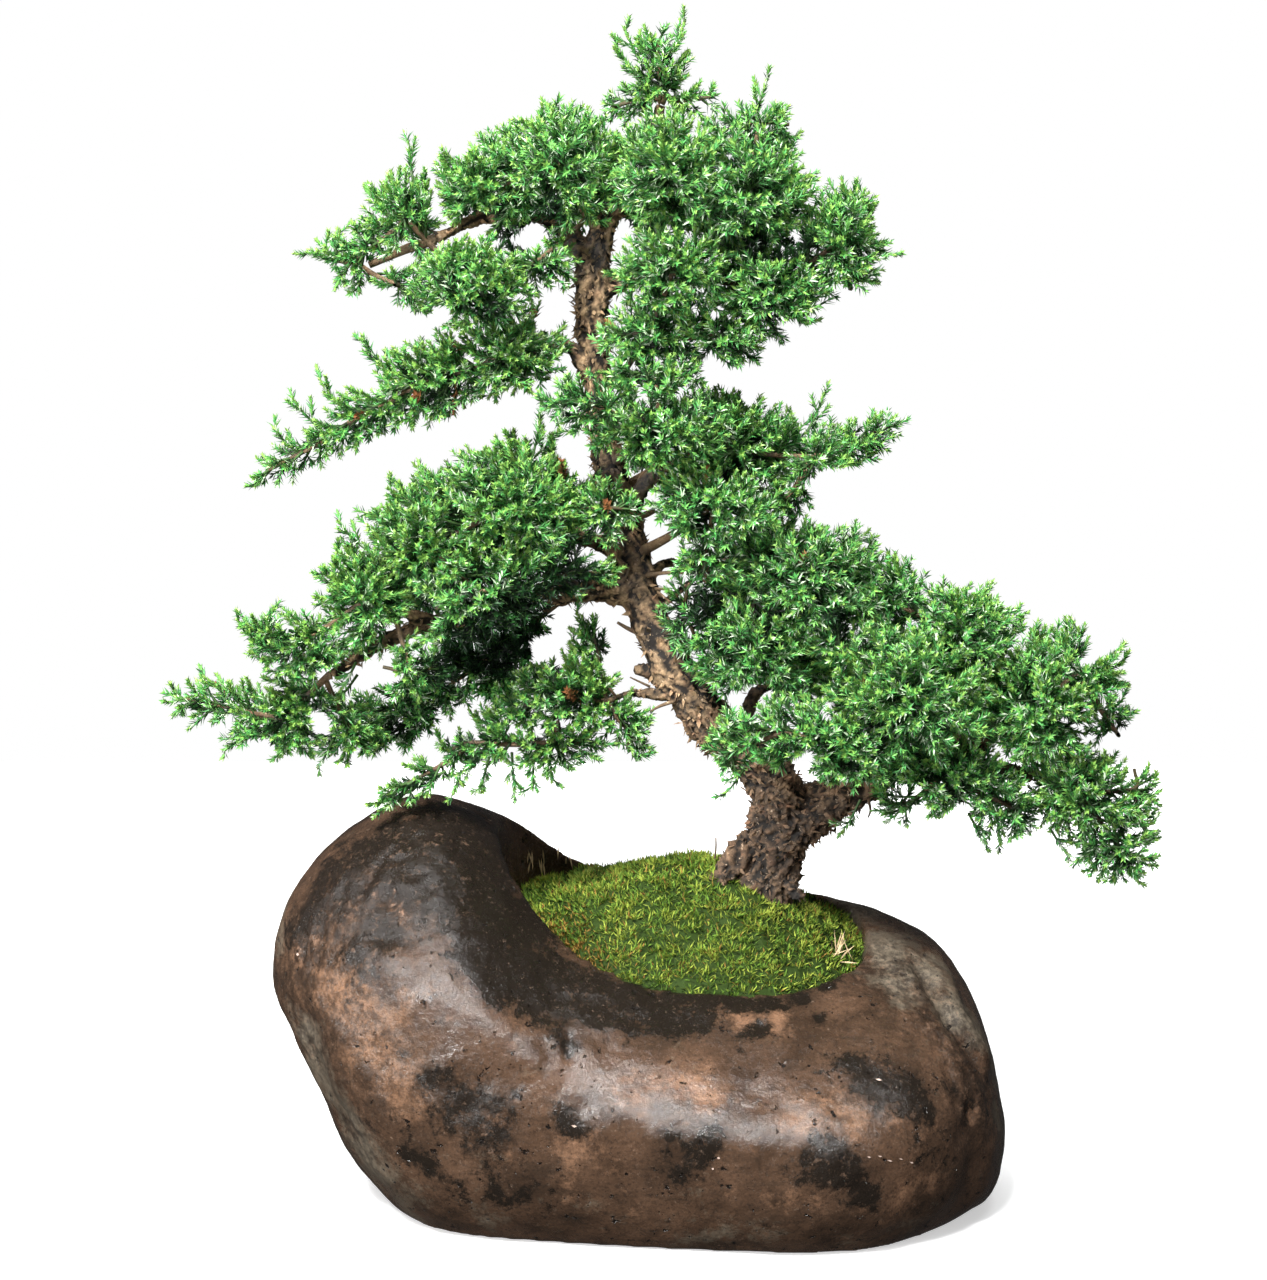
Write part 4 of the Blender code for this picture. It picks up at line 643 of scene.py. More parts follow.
# Lights in metres and watts: name, place, target, size, energy, and whether the light only shines
# back from glossy surfaces
LIGHTS = (
    ("key", (-0.45, -1.05, 1.50), (0.0, 0.0, 0.15), (0.62, 0.34), 91.0, False),
    ("fill", (-1.3, -1.2, 0.35), (0.0, 0.0, 0.1), (1.0, 1.0), 22.0, False),
    ("low_gleam", (-1.00, -1.16, 0.80), (0.0, 0.0, 0.08), (0.40, 0.10), 58.0, True),
    ("high_gleam", (0.05, -1.13, 1.32), (0.0, 0.0, 0.08), (0.30, 0.10), 32.0, True),
    ("low", (-0.75, -1.35, 0.10), (-0.1, 0.0, 0.0), (1.0, 0.2), 10.0, False),
    ("top", (0.2, 0.3, 1.7), (0.0, 0.0, 0.2), (1.4, 1.0), 32.0, False))


# Meshes from arrays

def new_object(name, mesh):
    obj = bpy.data.objects.new(name, mesh)
    bpy.context.scene.collection.objects.link(obj)
    return obj


def mesh_object(name, points, faces, materials, tones=None, smooth=False):
    """An object from arrays: points in millimetres, faces of equal size, and each one's material."""
    mesh = bpy.data.meshes.new(name)
    size = faces.shape[1]
    mesh.vertices.add(len(points))
    mesh.vertices.foreach_set("co", (points * MM).astype(np.float32).ravel())
    mesh.loops.add(faces.size)
    mesh.loops.foreach_set("vertex_index", faces.astype(np.int32).ravel())
    mesh.polygons.add(len(faces))
    mesh.polygons.foreach_set("loop_start", np.arange(0, faces.size, size, dtype=np.int32))
    for material in materials:
        mesh.materials.append(material)
    if tones is not None:
        mesh.polygons.foreach_set("material_index", tones.astype(np.int32))
    mesh.polygons.foreach_set("use_smooth", np.full(len(faces), smooth))
    mesh.update(calc_edges=True)
    return new_object(name, mesh)


class Pile:
    """Many small pieces gathered into one mesh."""

    def __init__(self):
        self.points = []
        self.faces = []
        self.tones = []
        self.count = 0

    def add(self, points, faces, tones):
        self.points.append(points)
        self.faces.append(faces + self.count)
        self.tones.append(np.broadcast_to(tones, len(faces)))
        self.count += len(points)

    def build(self, name, materials, smooth=False):
        return mesh_object(name, np.vstack(self.points), np.vstack(self.faces), materials,
                           np.concatenate(self.tones), smooth)


def circle(sides):
    return 2.0 * math.pi * np.arange(sides) / sides


def grid_faces(rows, columns):
    """Triangles of a tube of rows of points, each row closed round."""
    row = np.arange(rows - 1)[:, None] * columns
    side = np.arange(columns)[None, :]
    low = (row + side).ravel()
    nxt = (row + (side + 1) % columns).ravel()
    return np.vstack([np.stack([low, nxt, nxt + columns], 1),
                      np.stack([low, nxt + columns, low + columns], 1)])


def capped_faces(rows, columns):
    """Triangles of a tube with a cap at each end, whose two middle points follow the rows."""
    side = np.arange(columns)
    nxt = (side + 1) % columns
    foot = np.full(columns, rows * columns)
    last = (rows - 1) * columns
    return np.vstack([grid_faces(rows, columns), np.stack([foot, nxt, side], 1),
                      np.stack([foot + 1, last + side, last + nxt], 1)])


def tube_points(path, radii, sides, level_foot=False, flare=None):
    """Rings of points along a path, square to it."""
    path = np.asarray(path, dtype=float)
    ahead = np.gradient(path, axis=0)
    ahead /= np.linalg.norm(ahead, axis=1)[:, None]
    if level_foot:
        ahead[0] = (0, 0, 1)
    across = np.array(Vector(ahead[0]).orthogonal())
    angles = circle(sides)
    rings = []
    for centre, direction, radius in zip(path, ahead, radii):
        across = across - direction * across.dot(direction)
        across /= np.linalg.norm(across)
        up = np.cross(direction, across)
        spread = np.ones(sides) if flare is None else np.array([flare(centre[2], angle) for angle in angles])
        ring = np.cos(angles)[:, None] * across + np.sin(angles)[:, None] * up
        rings.append(centre + ring * (radius * spread)[:, None])
    return np.vstack(rings)


def closed_tube(path, radii, sides, level_foot=False, flare=None):
    """Points and triangles of a tube with a flat cap at each end."""
    points = tube_points(path, radii, sides, level_foot, flare)
    points = np.vstack([points, np.asarray(path[0])[None, :], np.asarray(path[-1])[None, :]])
    return points, capped_faces(len(path), sides)


def evaluated(obj):
    """The object's mesh with its modifiers applied."""
    depsgraph = bpy.context.evaluated_depsgraph_get()
    mesh = bpy.data.meshes.new_from_object(obj.evaluated_get(depsgraph))
    old = obj.data
    obj.modifiers.clear()
    obj.data = mesh
    bpy.data.meshes.remove(old)
    return obj


def remeshed(obj, voxel):
    """Fuse an object's closed shells into one even skin."""
    remesh = obj.modifiers.new("skin", "REMESH")
    remesh.mode = "VOXEL"
    remesh.voxel_size = voxel * MM
    remesh.use_smooth_shade = True
    smooth = obj.modifiers.new("smooth", "SMOOTH")
    smooth.factor = SKIN_SMOOTHING
    smooth.iterations = SKIN_SMOOTHINGS
    return evaluated(obj)


def mesh_triangles(mesh):
    """The mesh's four-sided faces as pairs of triangles."""
    corners = np.empty(len(mesh.loops), np.int32)
    mesh.loops.foreach_get("vertex_index", corners)
    quads = corners.reshape(-1, 4)
    return np.vstack([quads[:, [0, 1, 2]], quads[:, [0, 2, 3]]])


def vertex_values(mesh, name):
    values = np.empty(len(mesh.vertices) * 3, np.float32)
    mesh.vertices.foreach_get(name, values)
    return values.reshape(-1, 3).astype(float)


def mesh_points(mesh):
    return vertex_values(mesh, "co") / MM


def mesh_normals(mesh):
    return vertex_values(mesh, "normal")


def remove(obj):
    mesh = obj.data
    bpy.data.objects.remove(obj)
    bpy.data.meshes.remove(mesh)


def set_value(mesh, name, values):
    """A number for each point, which a material reads by name."""
    layer = mesh.attributes.new(name, "FLOAT", "POINT")
    layer.data.foreach_set("value", values.astype(np.float32))


def near(points, centre, radius):
    """1 at a centre, falling off smoothly round it."""
    return np.exp(-np.sum((points - centre) ** 2, axis=1) / radius ** 2)


def patches(points, table):
    """Strength at each point of soft patches given as (x, y, z, radius, strength)."""
    clear = np.ones(len(points))
    for x, y, z, radius, strength in table:
        clear *= 1.0 - strength * near(points, (x, y, z), radius)
    return 1.0 - clear


def line_distance(points, line):
    """Distance of each point from a line of straight pieces."""
    line = np.array(line, dtype=float)
    best = np.full(len(points), np.inf)
    for start, end in zip(line[:-1], line[1:]):
        along = end - start
        t = np.clip((points - start) @ along / along.dot(along), 0.0, 1.0)
        best = np.minimum(best, np.linalg.norm(points - start - t[:, None] * along, axis=1))
    return best


def noise_at(points, size, octaves=3):
    """Smooth noise of about -1 to 1 with lumps of a given size."""
    return np.array([noise.fractal(Vector(point), 1.0, 2.0, octaves) for point in points / size])


# Curves and limbs

def unit(vectors):
    return vectors / np.linalg.norm(vectors, axis=-1, keepdims=True)


def camera_place():
    back = np.array((0.0, -math.cos(CAMERA_ELEVATION), math.sin(CAMERA_ELEVATION)))
    return np.array(CAMERA_TARGET) + back * CAMERA_DISTANCE


def smooth_path(stations, count):
    """Points on a smooth curve through the stations, spaced evenly by station number."""
    stations = np.array(stations, dtype=float)
    padded = np.vstack([2 * stations[0] - stations[1], stations, 2 * stations[-1] - stations[-2]])
    out = []
    for position in np.linspace(0.0, len(stations) - 1.0, count):
        index = min(int(position), len(stations) - 2)
        t = position - index
        a, b, c, d = padded[index:index + 4]
        out.append(0.5 * (2 * b + (c - a) * t + (2 * a - 5 * b + 4 * c - d) * t ** 2
                          + (3 * b - a - 3 * c + d) * t ** 3))
    return np.array(out)


def root_flare(height, angle):
    """Spread of the trunk's foot into low root ridges."""
    rise = (height - TRUNK_STATIONS[0][2]) / FLARE_HEIGHT
    strength = FLARE_SPREAD * max(0.0, 1.0 - rise) ** 2
    ridge = max(0.0, math.cos(FLARE_RIDGES * angle + FLARE_TURN))
    return 1.0 + strength * (FLARE_VALLEY + (1.0 - FLARE_VALLEY) * ridge)


class Limb:
    """The axis and radius of a trunk or bough, with several rings to each ring of the source."""

    def __init__(self, name, path, radii, finer, sides):
        self.name = name
        self.path = np.array(path)
        self.radii = np.array(radii)
        self.finer = finer
        self.sides = sides

    def nearest(self, point):
        """Number of the source's ring nearest to a place."""
        return int(np.argmin(np.linalg.norm(self.path[::self.finer] - np.array(point), axis=1)))

    def place_before(self, point):
        """Axis point one ring of the source before the one nearest to a place."""
        return self.path[::self.finer][max(0, self.nearest(point) - 1)]

    def radius_near(self, point):
        return float(self.radii[::self.finer][self.nearest(point)])

    def tip_direction(self):
        return unit(self.path[-1] - self.path[-2])

    def skin(self):
        trunk = self.name == "trunk"
        radii = self.radii * THINNER.get(self.name, 1.0)
        return closed_tube(self.path, radii, self.sides, trunk, root_flare if trunk else None)


def grow_trunk():
    stations = smooth_path(TRUNK_STATIONS, (TRUNK_RINGS - 1) * TRUNK_FINER + 1)
    return Limb("trunk", stations[:, :3], stations[:, 3], TRUNK_FINER, TRUNK_SIDES)


def grow_bough(name, host, foot_radius, tip_radius, route):
    """A tapering limb that leaves its host a little below the first point of its route."""
    stations = [tuple(host.place_before(route[0]))] + list(route)
    length = sum(math.dist(a, b) for a, b in zip(stations[:-1], stations[1:]))
    rings = max(FEWEST_BOUGH_RINGS, round(length / BOUGH_STEP) + 1)
    rings = (rings - 1) * BOUGH_FINER + 1
    path = smooth_path(stations, rings)
    share = np.linspace(0.0, 1.0, rings)
    radii = foot_radius + (tip_radius - foot_radius) * share ** TAPER_POWER
    radii *= 1.0 + COLLAR * (1.0 - share) ** COLLAR_FADE
    return Limb(name, path, radii, BOUGH_FINER, BOUGH_SIDES)


def grow_limbs():
    limbs = {"trunk": grow_trunk()}
    for name, host, foot_radius, tip_radius, route in BOUGHS:
        limbs[name] = grow_bough(name, limbs[host], foot_radius, tip_radius, route)
    return limbs


# Pot and ground

def profile(table, x):
    """Smooth value at x of a curve along the pot, rounded off at both ends."""
    def place(position):
        return math.acos(max(-1.0, min(1.0, (POT_MIDDLE - position) / POT_HALF)))

    knots = [place(row[0]) for row in table]
    values = [row[1] for row in table]
    at = place(x)
    slopes = []
    for i in range(len(knots)):
        low = max(i - 1, 0)
        high = min(i + 1, len(knots) - 1)
        slopes.append((values[high] - values[low]) / (knots[high] - knots[low]))
    i = max(k for k in range(len(knots) - 1) if knots[k] <= at or k == 0)
    span = knots[i + 1] - knots[i]
    t = (at - knots[i]) / span
    return ((2 * t ** 3 - 3 * t ** 2 + 1) * values[i] + (t ** 3 - 2 * t ** 2 + t) * span * slopes[i]
            + (3 * t ** 2 - 2 * t ** 3) * values[i + 1] + (t ** 3 - t ** 2) * span * slopes[i + 1])


def pot_ring(x, angles):
    """Points round the boulder at length x, with angle 0 at the back and 90 degrees on top."""
    setback = profile(POT_RIDGE_SETBACK, x)
    waist = profile(POT_WAIST_HEIGHT, x)
    across = np.cos(angles)
    up = np.sin(angles)
    reach = np.where(across >= 0, profile(POT_BACK, x) - setback, setback - profile(POT_FRONT, x))
    roundness = np.where(across >= 0, POT_BACK_ROUNDNESS, profile(POT_FRONT_ROUNDNESS, x))
    height = np.where(up >= 0, profile(POT_RIDGE_HEIGHT, x) - waist, waist - profile(POT_KEEL_HEIGHT, x))
    power = 2.0 / np.where(up >= 0, roundness, POT_KEEL_ROUNDNESS)
    y = setback + np.sign(across) * np.abs(across) ** power * reach
    z = waist + np.sign(up) * np.abs(up) ** power * height
    return np.stack([np.full(len(angles), x), y, z], 1)


def pocket_edge(angles, height, inset):
    """Points on the pocket's wall at a height, or that far inside the wall."""
    share = (height - POCKET_FLOOR) / (POCKET_RIM - POCKET_FLOOR)
    scale = POCKET_FLOOR_SCALE + (1.0 - POCKET_FLOOR_SCALE) * share
    power = 2.0 / POCKET_ROUNDNESS
    c = np.cos(angles)
    s = np.sin(angles)
    x = POCKET_CENTRE[0] + (POCKET_HALF[0] * scale - inset) * np.sign(c) * np.abs(c) ** power
    y = POCKET_CENTRE[1] + (POCKET_HALF[1] * scale - inset) * np.sign(s) * np.abs(s) ** power
    return np.stack([x, y, np.broadcast_to(height, x.shape)], 1)


def ground_points(angles, shares, inset=GAP):
    """Points on the mound, from the crest at share 0 to the pocket's wall at share 1."""
    flat = pocket_edge(angles, np.full(len(angles), POCKET_RIM), inset)
    height = RIM_LEVEL + RIM_RISE_TO_BACK * flat[:, 1] - RIM_FALL_TO_RIGHT * flat[:, 0]
    wall = pocket_edge(angles, height, inset)
    x = CREST[0] + (wall[:, 0] - CREST[0]) * shares
    y = CREST[1] + (wall[:, 1] - CREST[1]) * shares
    z = height + (CREST[2] - height) * (1.0 - shares ** MOUND_ROUNDNESS)
    return np.stack([x, y, z], 1)


def make_pot(glaze, chip):
    """The boulder with its pocket, as an even skin with the relief of worn rock."""
    angles = circle(POT_SIDES)
    rings = [pot_ring(POT_MIDDLE - POT_HALF * math.cos(math.pi * ring / POT_RINGS), angles)
             for ring in range(1, POT_RINGS)]
    ends = np.array([(POT_LEFT, 0.0, POT_WAIST_HEIGHT[0][1]), (POT_RIGHT, 0.0, POT_WAIST_HEIGHT[-1][1])])
    plain = mesh_object("boulder", np.vstack(rings + [ends]), capped_faces(POT_RINGS - 1, POT_SIDES), [])
    flatten_underside(plain)
    cut_pocket(plain)
    remeshed(plain, POT_VOXEL)
    normals = mesh_normals(plain.data)
    pile = Pile()
    pile.add(worn_points(mesh_points(plain.data), normals), mesh_triangles(plain.data), 0)
    remove(plain)
    add_chips(pile, normals)
    pot = pile.build("pot_glazed", [glaze, chip], smooth=True)
    points = np.vstack(pile.points)
    # Painted sheen: greyer on the surfaces that face the back
    sheen_to_back = GREY_AND_SHEEN_BACK * np.clip(mesh_normals(pot.data)[:, 1], 0.0, 1.0)
    set_value(pot.data, "soot_and_shade", patches(points, POT_SOOT_AND_SHADE))
    set_value(pot.data, "tan", patches(points, POT_TAN))
    set_value(pot.data, "grey_and_sheen", patches(points, POT_GREY_AND_SHEEN) + sheen_to_back)
    set_value(pot.data, "rough", patches(points, POT_ROUGH))
    set_value(pot.data, "worn", np.exp(-(line_distance(points, POT_WORN) / POT_WORN_WIDTH) ** 2))
    return pot


def flatten_underside(obj):
    work = bmesh.new()
    work.from_mesh(obj.data)
    parts = work.verts[:] + work.edges[:] + work.faces[:]
    cut = bmesh.ops.bisect_plane(work, geom=parts, plane_co=(0, 0, 0), plane_no=(0, 0, 1), clear_inner=True)
    rim = [part for part in cut["geom_cut"] if isinstance(part, bmesh.types.BMEdge)]
    bmesh.ops.contextual_create(work, geom=rim)
    bmesh.ops.recalc_face_normals(work, faces=work.faces)
    work.to_mesh(obj.data)
    work.free()


def cut_pocket(pot):
    angles = circle(POCKET_SIDES)
    heights = (POCKET_FLOOR, POCKET_RIM, POCKET_CUT_TOP)
    rings = [pocket_edge(angles, np.full(POCKET_SIDES, height), 0.0) for height in heights]
    middle = [np.array((*POCKET_CENTRE, height))[None, :] for height in (POCKET_FLOOR, POCKET_CUT_TOP)]
    cutter = mesh_object("cutter", np.vstack(rings + middle), capped_faces(len(rings), POCKET_SIDES), [])
    cut = pot.modifiers.new("pocket", "BOOLEAN")
    cut.operation = "DIFFERENCE"
    cut.solver = "EXACT"
    cut.object = cutter
    evaluated(pot)
    remove(cutter)


def worn_points(points, normals):
    """The pot's points moved by lumps, grooves and ridges."""
    height = sum(depth * noise_at(points, size) for size, depth in POT_LUMPS)
    height += POT_CRUMBS[1] * noise_at(points, POT_CRUMBS[0]) * patches(points, POT_ROUGH)
    for width, depth, line in POT_GROOVES:
        height -= depth * np.exp(-(line_distance(points, line) / width) ** 2)
    fade = np.clip(points[:, 2] / POT_BASE_FADE, 0.0, 1.0)
    points = points + normals * (height * fade)[:, None]
    points[:, 2] = np.maximum(points[:, 2], 0.0)
    return points


def add_chips(pile, normals):
    """Small pale flakes that lie on the pot's skin."""
    skin = pile.points[0]
    for x, y, z, length, width in POT_CHIPS:
        at = int(np.argmin(np.sum((skin - (x, y, z)) ** 2, axis=1)))
        facing = normals[at:at + 1]
        out = unit(np.cross(facing, CHIP_LINE))
        base = skin[at] + facing * CHIP_LIFT - out * length / 2
        pile.add(*kites(base, out, facing, np.array([length]), width, CHIP_FOLD), 1)


def hummock(points):
    """Height of the moss's hummocks above or below the even mound."""
    flat = points * (1.0, 1.0, 0.0)
    height = sum(depth * noise_at(flat, size, 2) for size, depth in HUMMOCKS)
    for x, y, radius, depth in MOSS_DIPS:
        height -= depth * near(points[:, :2], (x, y), radius)
    return height


def make_moss(materials, rng, trunk):
    """A mound of moss: a dark underlay of painted shade, tufts of small blades, straws and the rootlets
    behind it.
    """
    sides = circle(MOSS_SIDES)
    rings = [ground_points(sides, np.full(MOSS_SIDES, 1.0 - ring / MOSS_RINGS))
             for ring in range(MOSS_RINGS)]
    points = np.vstack(rings + [np.array(CREST)[None, :]])
    points[:, 2] += hummock(points) - MOSS_SINK
    side = np.arange(MOSS_SIDES)
    last = (MOSS_RINGS - 1) * MOSS_SIDES
    crest = np.full(MOSS_SIDES, len(points) - 1)
    top = np.stack([crest, last + side, last + (side + 1) % MOSS_SIDES], 1)
    pile = Pile()
    # The underlay is a dark sheet of painted shade between the blades
    pile.add(points, np.vstack([grid_faces(MOSS_RINGS, MOSS_SIDES), top]), MOSS_DARK_AND_SHADE)
    spokes = rings[0][:, :2] - points[-1, :2]
    following = np.roll(spokes, -1, axis=0)
    sweep = np.abs(spokes[:, 0] * following[:, 1] - spokes[:, 1] * following[:, 0])
    angles = rng.choice(sides, TUFTS, p=sweep / sweep.sum())
    angles = angles + rng.uniform(0.0, 2.0 * math.pi / MOSS_SIDES, TUFTS)
    centres = ground_points(angles, np.sqrt(rng.uniform(0.0, MOSS_OVERHANG, TUFTS)))
    foot = np.linalg.norm(centres[:, :2] - trunk.path[TRUNK_RING_IN_MOSS, :2], axis=1)
    centres = centres[foot > trunk.radii[TRUNK_RING_IN_MOSS] + TRUNK_CLEARANCE]
    add_tufts(pile, rng, centres)
    add_straws(pile, rng)
    add_rootlets(pile, rng)
    return pile.build("moss_carpet", materials)


def level_circle(rng, count):
    """Level directions turned at random."""
    turn = rng.uniform(0.0, 2.0 * math.pi, count)
    return np.stack([np.cos(turn), np.sin(turn), np.zeros(count)], 1)


def add_tufts(pile, rng, centres):
    """Tufts of blades that lean outwards, in tones that go by patch and by height, the latter painted light.
    """
    rise = hummock(centres)
    centres[:, 2] += rise
    index = np.repeat(np.arange(len(centres)), TUFT_BLADES)
    count = len(index)
    out = level_circle(rng, count)
    spread = rng.uniform(0.0, 1.0, count) ** BLADE_CROWDING
    base = centres[index] + out * (spread * TUFT_RADIUS)[:, None]
    base[:, 2] -= MOSS_SINK
    lean = out * (spread * BLADE_SPREAD)[:, None] + rng.normal(0.0, BLADE_JITTER, (count, 3))
    ahead = unit(lean + np.array((0.0, 0.0, 1.0)))
    length = rng.uniform(*BLADE_LENGTH, count) * (BLADE_SHORTER[0] - BLADE_SHORTER[1] * spread)
    points, faces = kites(base, ahead, out, length, BLADE_WIDTH, BLADE_FOLD)
    # The share by height is painted light: tufts on the hummocks lighter, in the hollows darker
    by_patch, painted_light_by_height, jitter = MOSS_PATCH_SHARES
    patch = by_patch * noise_at(centres, MOSS_PATCH_SIZE, 2)[index] + painted_light_by_height * rise[index]
    patch = patch + rng.normal(0.0, jitter, count)
    tones = np.select([patch > level for level in MOSS_LEVELS], [MOSS_LIGHT, MOSS_GREEN], MOSS_DARK_AND_SHADE)
    brown = sum(near(centres[:, :2], (x, y), radius) for x, y, radius in BROWN_EDGE)
    everywhere, at_edge = MOSS_BROWN_SHARES
    tones = np.where(rng.random(count) < everywhere + at_edge * brown[index], MOSS_BROWN, tones)
    pile.add(points, faces, np.repeat(tones, 2))


def add_straws(pile, rng):
    """Dry blades that stand in the moss at the pot's right."""
    x, y, radius, count = STRAWS
    around = level_circle(rng, count)
    base = np.array((x, y, RIM_LEVEL)) + around * rng.uniform(0.0, radius, count)[:, None]
    base[:, 2] -= RIM_FALL_TO_RIGHT * x
    out = unit(np.array(STRAW_LEAN) + rng.normal(0.0, STRAW_JITTER, (count, 3)))
    length = rng.uniform(*STRAW_LENGTH, count)
    pile.add(*kites(base, out, around, length, STRAW_WIDTH, BLADE_FOLD), MOSS_STRAW)


def add_rootlets(pile, rng):
    """Thin pale roots that hang on the pocket's wall at the back left."""
    angles = rng.uniform(*ROOTLET_ANGLES, ROOTLETS)
    base = pocket_edge(angles, rng.uniform(*ROOTLET_TOPS, ROOTLETS), ROOTLET_INSET)
    out = unit(np.array(ROOTLET_FALL) + rng.normal(0.0, ROOTLET_JITTER, (ROOTLETS, 3)))
    facing = np.broadcast_to((0.0, -1.0, 0.0), base.shape)
    length = rng.uniform(*ROOTLET_LENGTH, ROOTLETS)
    pile.add(*kites(base, out, facing, length, STRAW_WIDTH, BLADE_FOLD), MOSS_STRAW)


# Bark

def straight_pieces(limbs):
    """Starts and ends of the straight pieces of all limbs."""
    return np.vstack([limb.path[:-1] for limb in limbs]), np.vstack([limb.path[1:] for limb in limbs])


def limb_frame(points, limbs):
    """For each point its nearest limb's axis point, direction, radius, and distance along that limb."""
    starts, ends = straight_pieces(limbs)
    radii = np.concatenate([limb.radii[:-1] for limb in limbs])
    steps = [np.linalg.norm(np.diff(limb.path, axis=0), axis=1) for limb in limbs]
    along = np.concatenate([np.cumsum(step) - step for step in steps])
    axis = ends - starts
    length2 = np.sum(axis ** 2, axis=1)
    length = np.sqrt(length2)
    best = []
    share = []
    for low in range(0, len(points), LIMB_BATCH):
        rel = points[low:low + LIMB_BATCH, None, :] - starts
        t = np.clip(np.einsum("ijk,jk->ij", rel, axis) / length2, 0.0, 1.0)
        nearest = np.argmin(np.linalg.norm(rel - t[:, :, None] * axis, axis=2) - radii, axis=1)
        best.append(nearest)
        share.append(t[np.arange(len(t)), nearest])
    best = np.concatenate(best)
    share = np.concatenate(share)
    foot = starts[best] + axis[best] * share[:, None]
    return foot, axis[best] / length[best][:, None], radii[best], along[best] + length[best] * share


def make_bark(limbs, material, rng):
    """Trunk, boughs and roots as one skin with rough bark, and loose flakes on it."""
    pile = Pile()
    for limb in limbs:
        pile.add(*limb.skin(), 0)
    for foot_radius, tip_radius, line in ROOTS:
        radii = np.linspace(foot_radius, tip_radius, ROOT_RINGS)
        pile.add(*closed_tube(smooth_path(line, ROOT_RINGS), radii, BOUGH_SIDES), 0)
    plain = pile.build("limbs", [])
    remeshed(plain, BARK_VOXEL)
    points = mesh_points(plain.data)
    normals = mesh_normals(plain.data)
    faces = mesh_triangles(plain.data)
    remove(plain)
    foot, ahead, radius, distance = limb_frame(points, limbs)
    stretched = (points - foot) / BARK_STRIP + np.array(BARK_SLANT) * (distance / BARK_STRETCH)[:, None]
    steps = (noise_at(stretched, 1.0, 4) + 1.0) * BARK_PLATES
    edge = np.clip((steps - np.floor(steps) - PLATE_EDGE[0]) / PLATE_EDGE[1], 0.0, 1.0)
    plates = (np.floor(steps) + edge ** 2) / BARK_PLATES - 1.0
    grit = noise_at(points, BARK_GRIT[0], 2)
    rough = 1.0 - SMOOTHER_SHARE * near(points, SMOOTHER_BARK[:3], SMOOTHER_BARK[3])
    depth = (BARK_DEPTH * radius + BARK_DEPTH_LEAST) * rough
    relief = plates * depth * PLATE_DEPTH + noise_at(points, KNOB_SIZE, 2) * radius * KNOB_DEPTH
    relief = relief + grit * BARK_GRIT[1] * rough
    for x, y, z, reach, height in SWELLINGS:
        relief += height * near(points, (x, y, z), reach)
    points = points + normals * relief[:, None]
    pile = Pile()
    pile.add(points, faces, 0)
    at = rng.choice(len(points), FLAKES, replace=False)
    thick, fewest, most = FEWER_FLAKES
    at = at[rng.random(FLAKES) < rough[at] ** 2 * np.clip(radius[at] / thick, fewest, most)]
    turn = rng.normal(0.0, FLAKE_TURN, len(at))[:, None]
    along = ahead[at] * np.cos(turn) + np.cross(normals[at], ahead[at]) * np.sin(turn)
    along = along * rng.choice((-1.0, 1.0), (len(at), 1))
    lift = rng.uniform(*FLAKE_LIFT, len(at))[:, None]
    out = unit(along * np.cos(lift) + normals[at] * np.sin(lift))
    length = rng.uniform(*FLAKE_LENGTH, len(at))
    width = rng.uniform(*FLAKE_WIDTH, len(at))
    base = points[at] - normals[at] * FLAKE_SINK
    pile.add(*kites(base, out, normals[at], length, width, FLAKE_FOLD), 0)
    bark = pile.build("bark", [material], smooth=True)
    shade = np.repeat(rng.uniform(*FLAKE_SHADE, len(at)), 4)
    set_value(bark.data, "relief", np.concatenate([plates + GRIT_SHADE * grit, shade]))
    return bark


# Spaces of the masses

class Lobe:
    """One rounded space of a mass."""

    def __init__(self, owner, row):
        self.owner = owner
        self.centre = np.array(row[0:3], dtype=float)
        self.half = np.array(row[3:6], dtype=float)
        c = math.cos(math.radians(row[6]))
        s = math.sin(math.radians(row[6]))
        self.turn = np.array([[c, 0, -s], [0, 1, 0], [s, 0, c]])

    def point(self, direction, share):
        """Place in a direction from the centre, at a share of the half-sizes."""
        return self.centre + self.turn @ (np.array(direction) * self.half * share)

    def depth(self, points):
        """How far out points lie: 0 at the centre and 1 on the lobe's skin."""
        return np.linalg.norm((points - self.centre) @ self.turn / self.half, axis=1)

    def area(self):
        return 4.0 * math.pi * float(np.prod(self.half)) ** (2.0 / 3.0)

    def long_axis(self):
        return self.turn[:, int(np.argmax(self.half))] * float(np.max(self.half))


def in_circles(points, table):
    """Whether points lie, seen from the front, in a circle of the table and before its depth."""
    circles = np.array(table, dtype=float)
    eye = camera_place()
    middles = np.stack([circles[:, 0], np.zeros(len(circles)), circles[:, 1]], 1)
    rays = unit(middles - eye)
    rel = points[:, None, :] - eye
    along = np.sum(rel * rays, axis=2)
    off = np.linalg.norm(rel - along[:, :, None] * rays, axis=2)
    return ((off < circles[:, 2]) & (points[:, 1:2] < circles[:, 3])).any(axis=1)


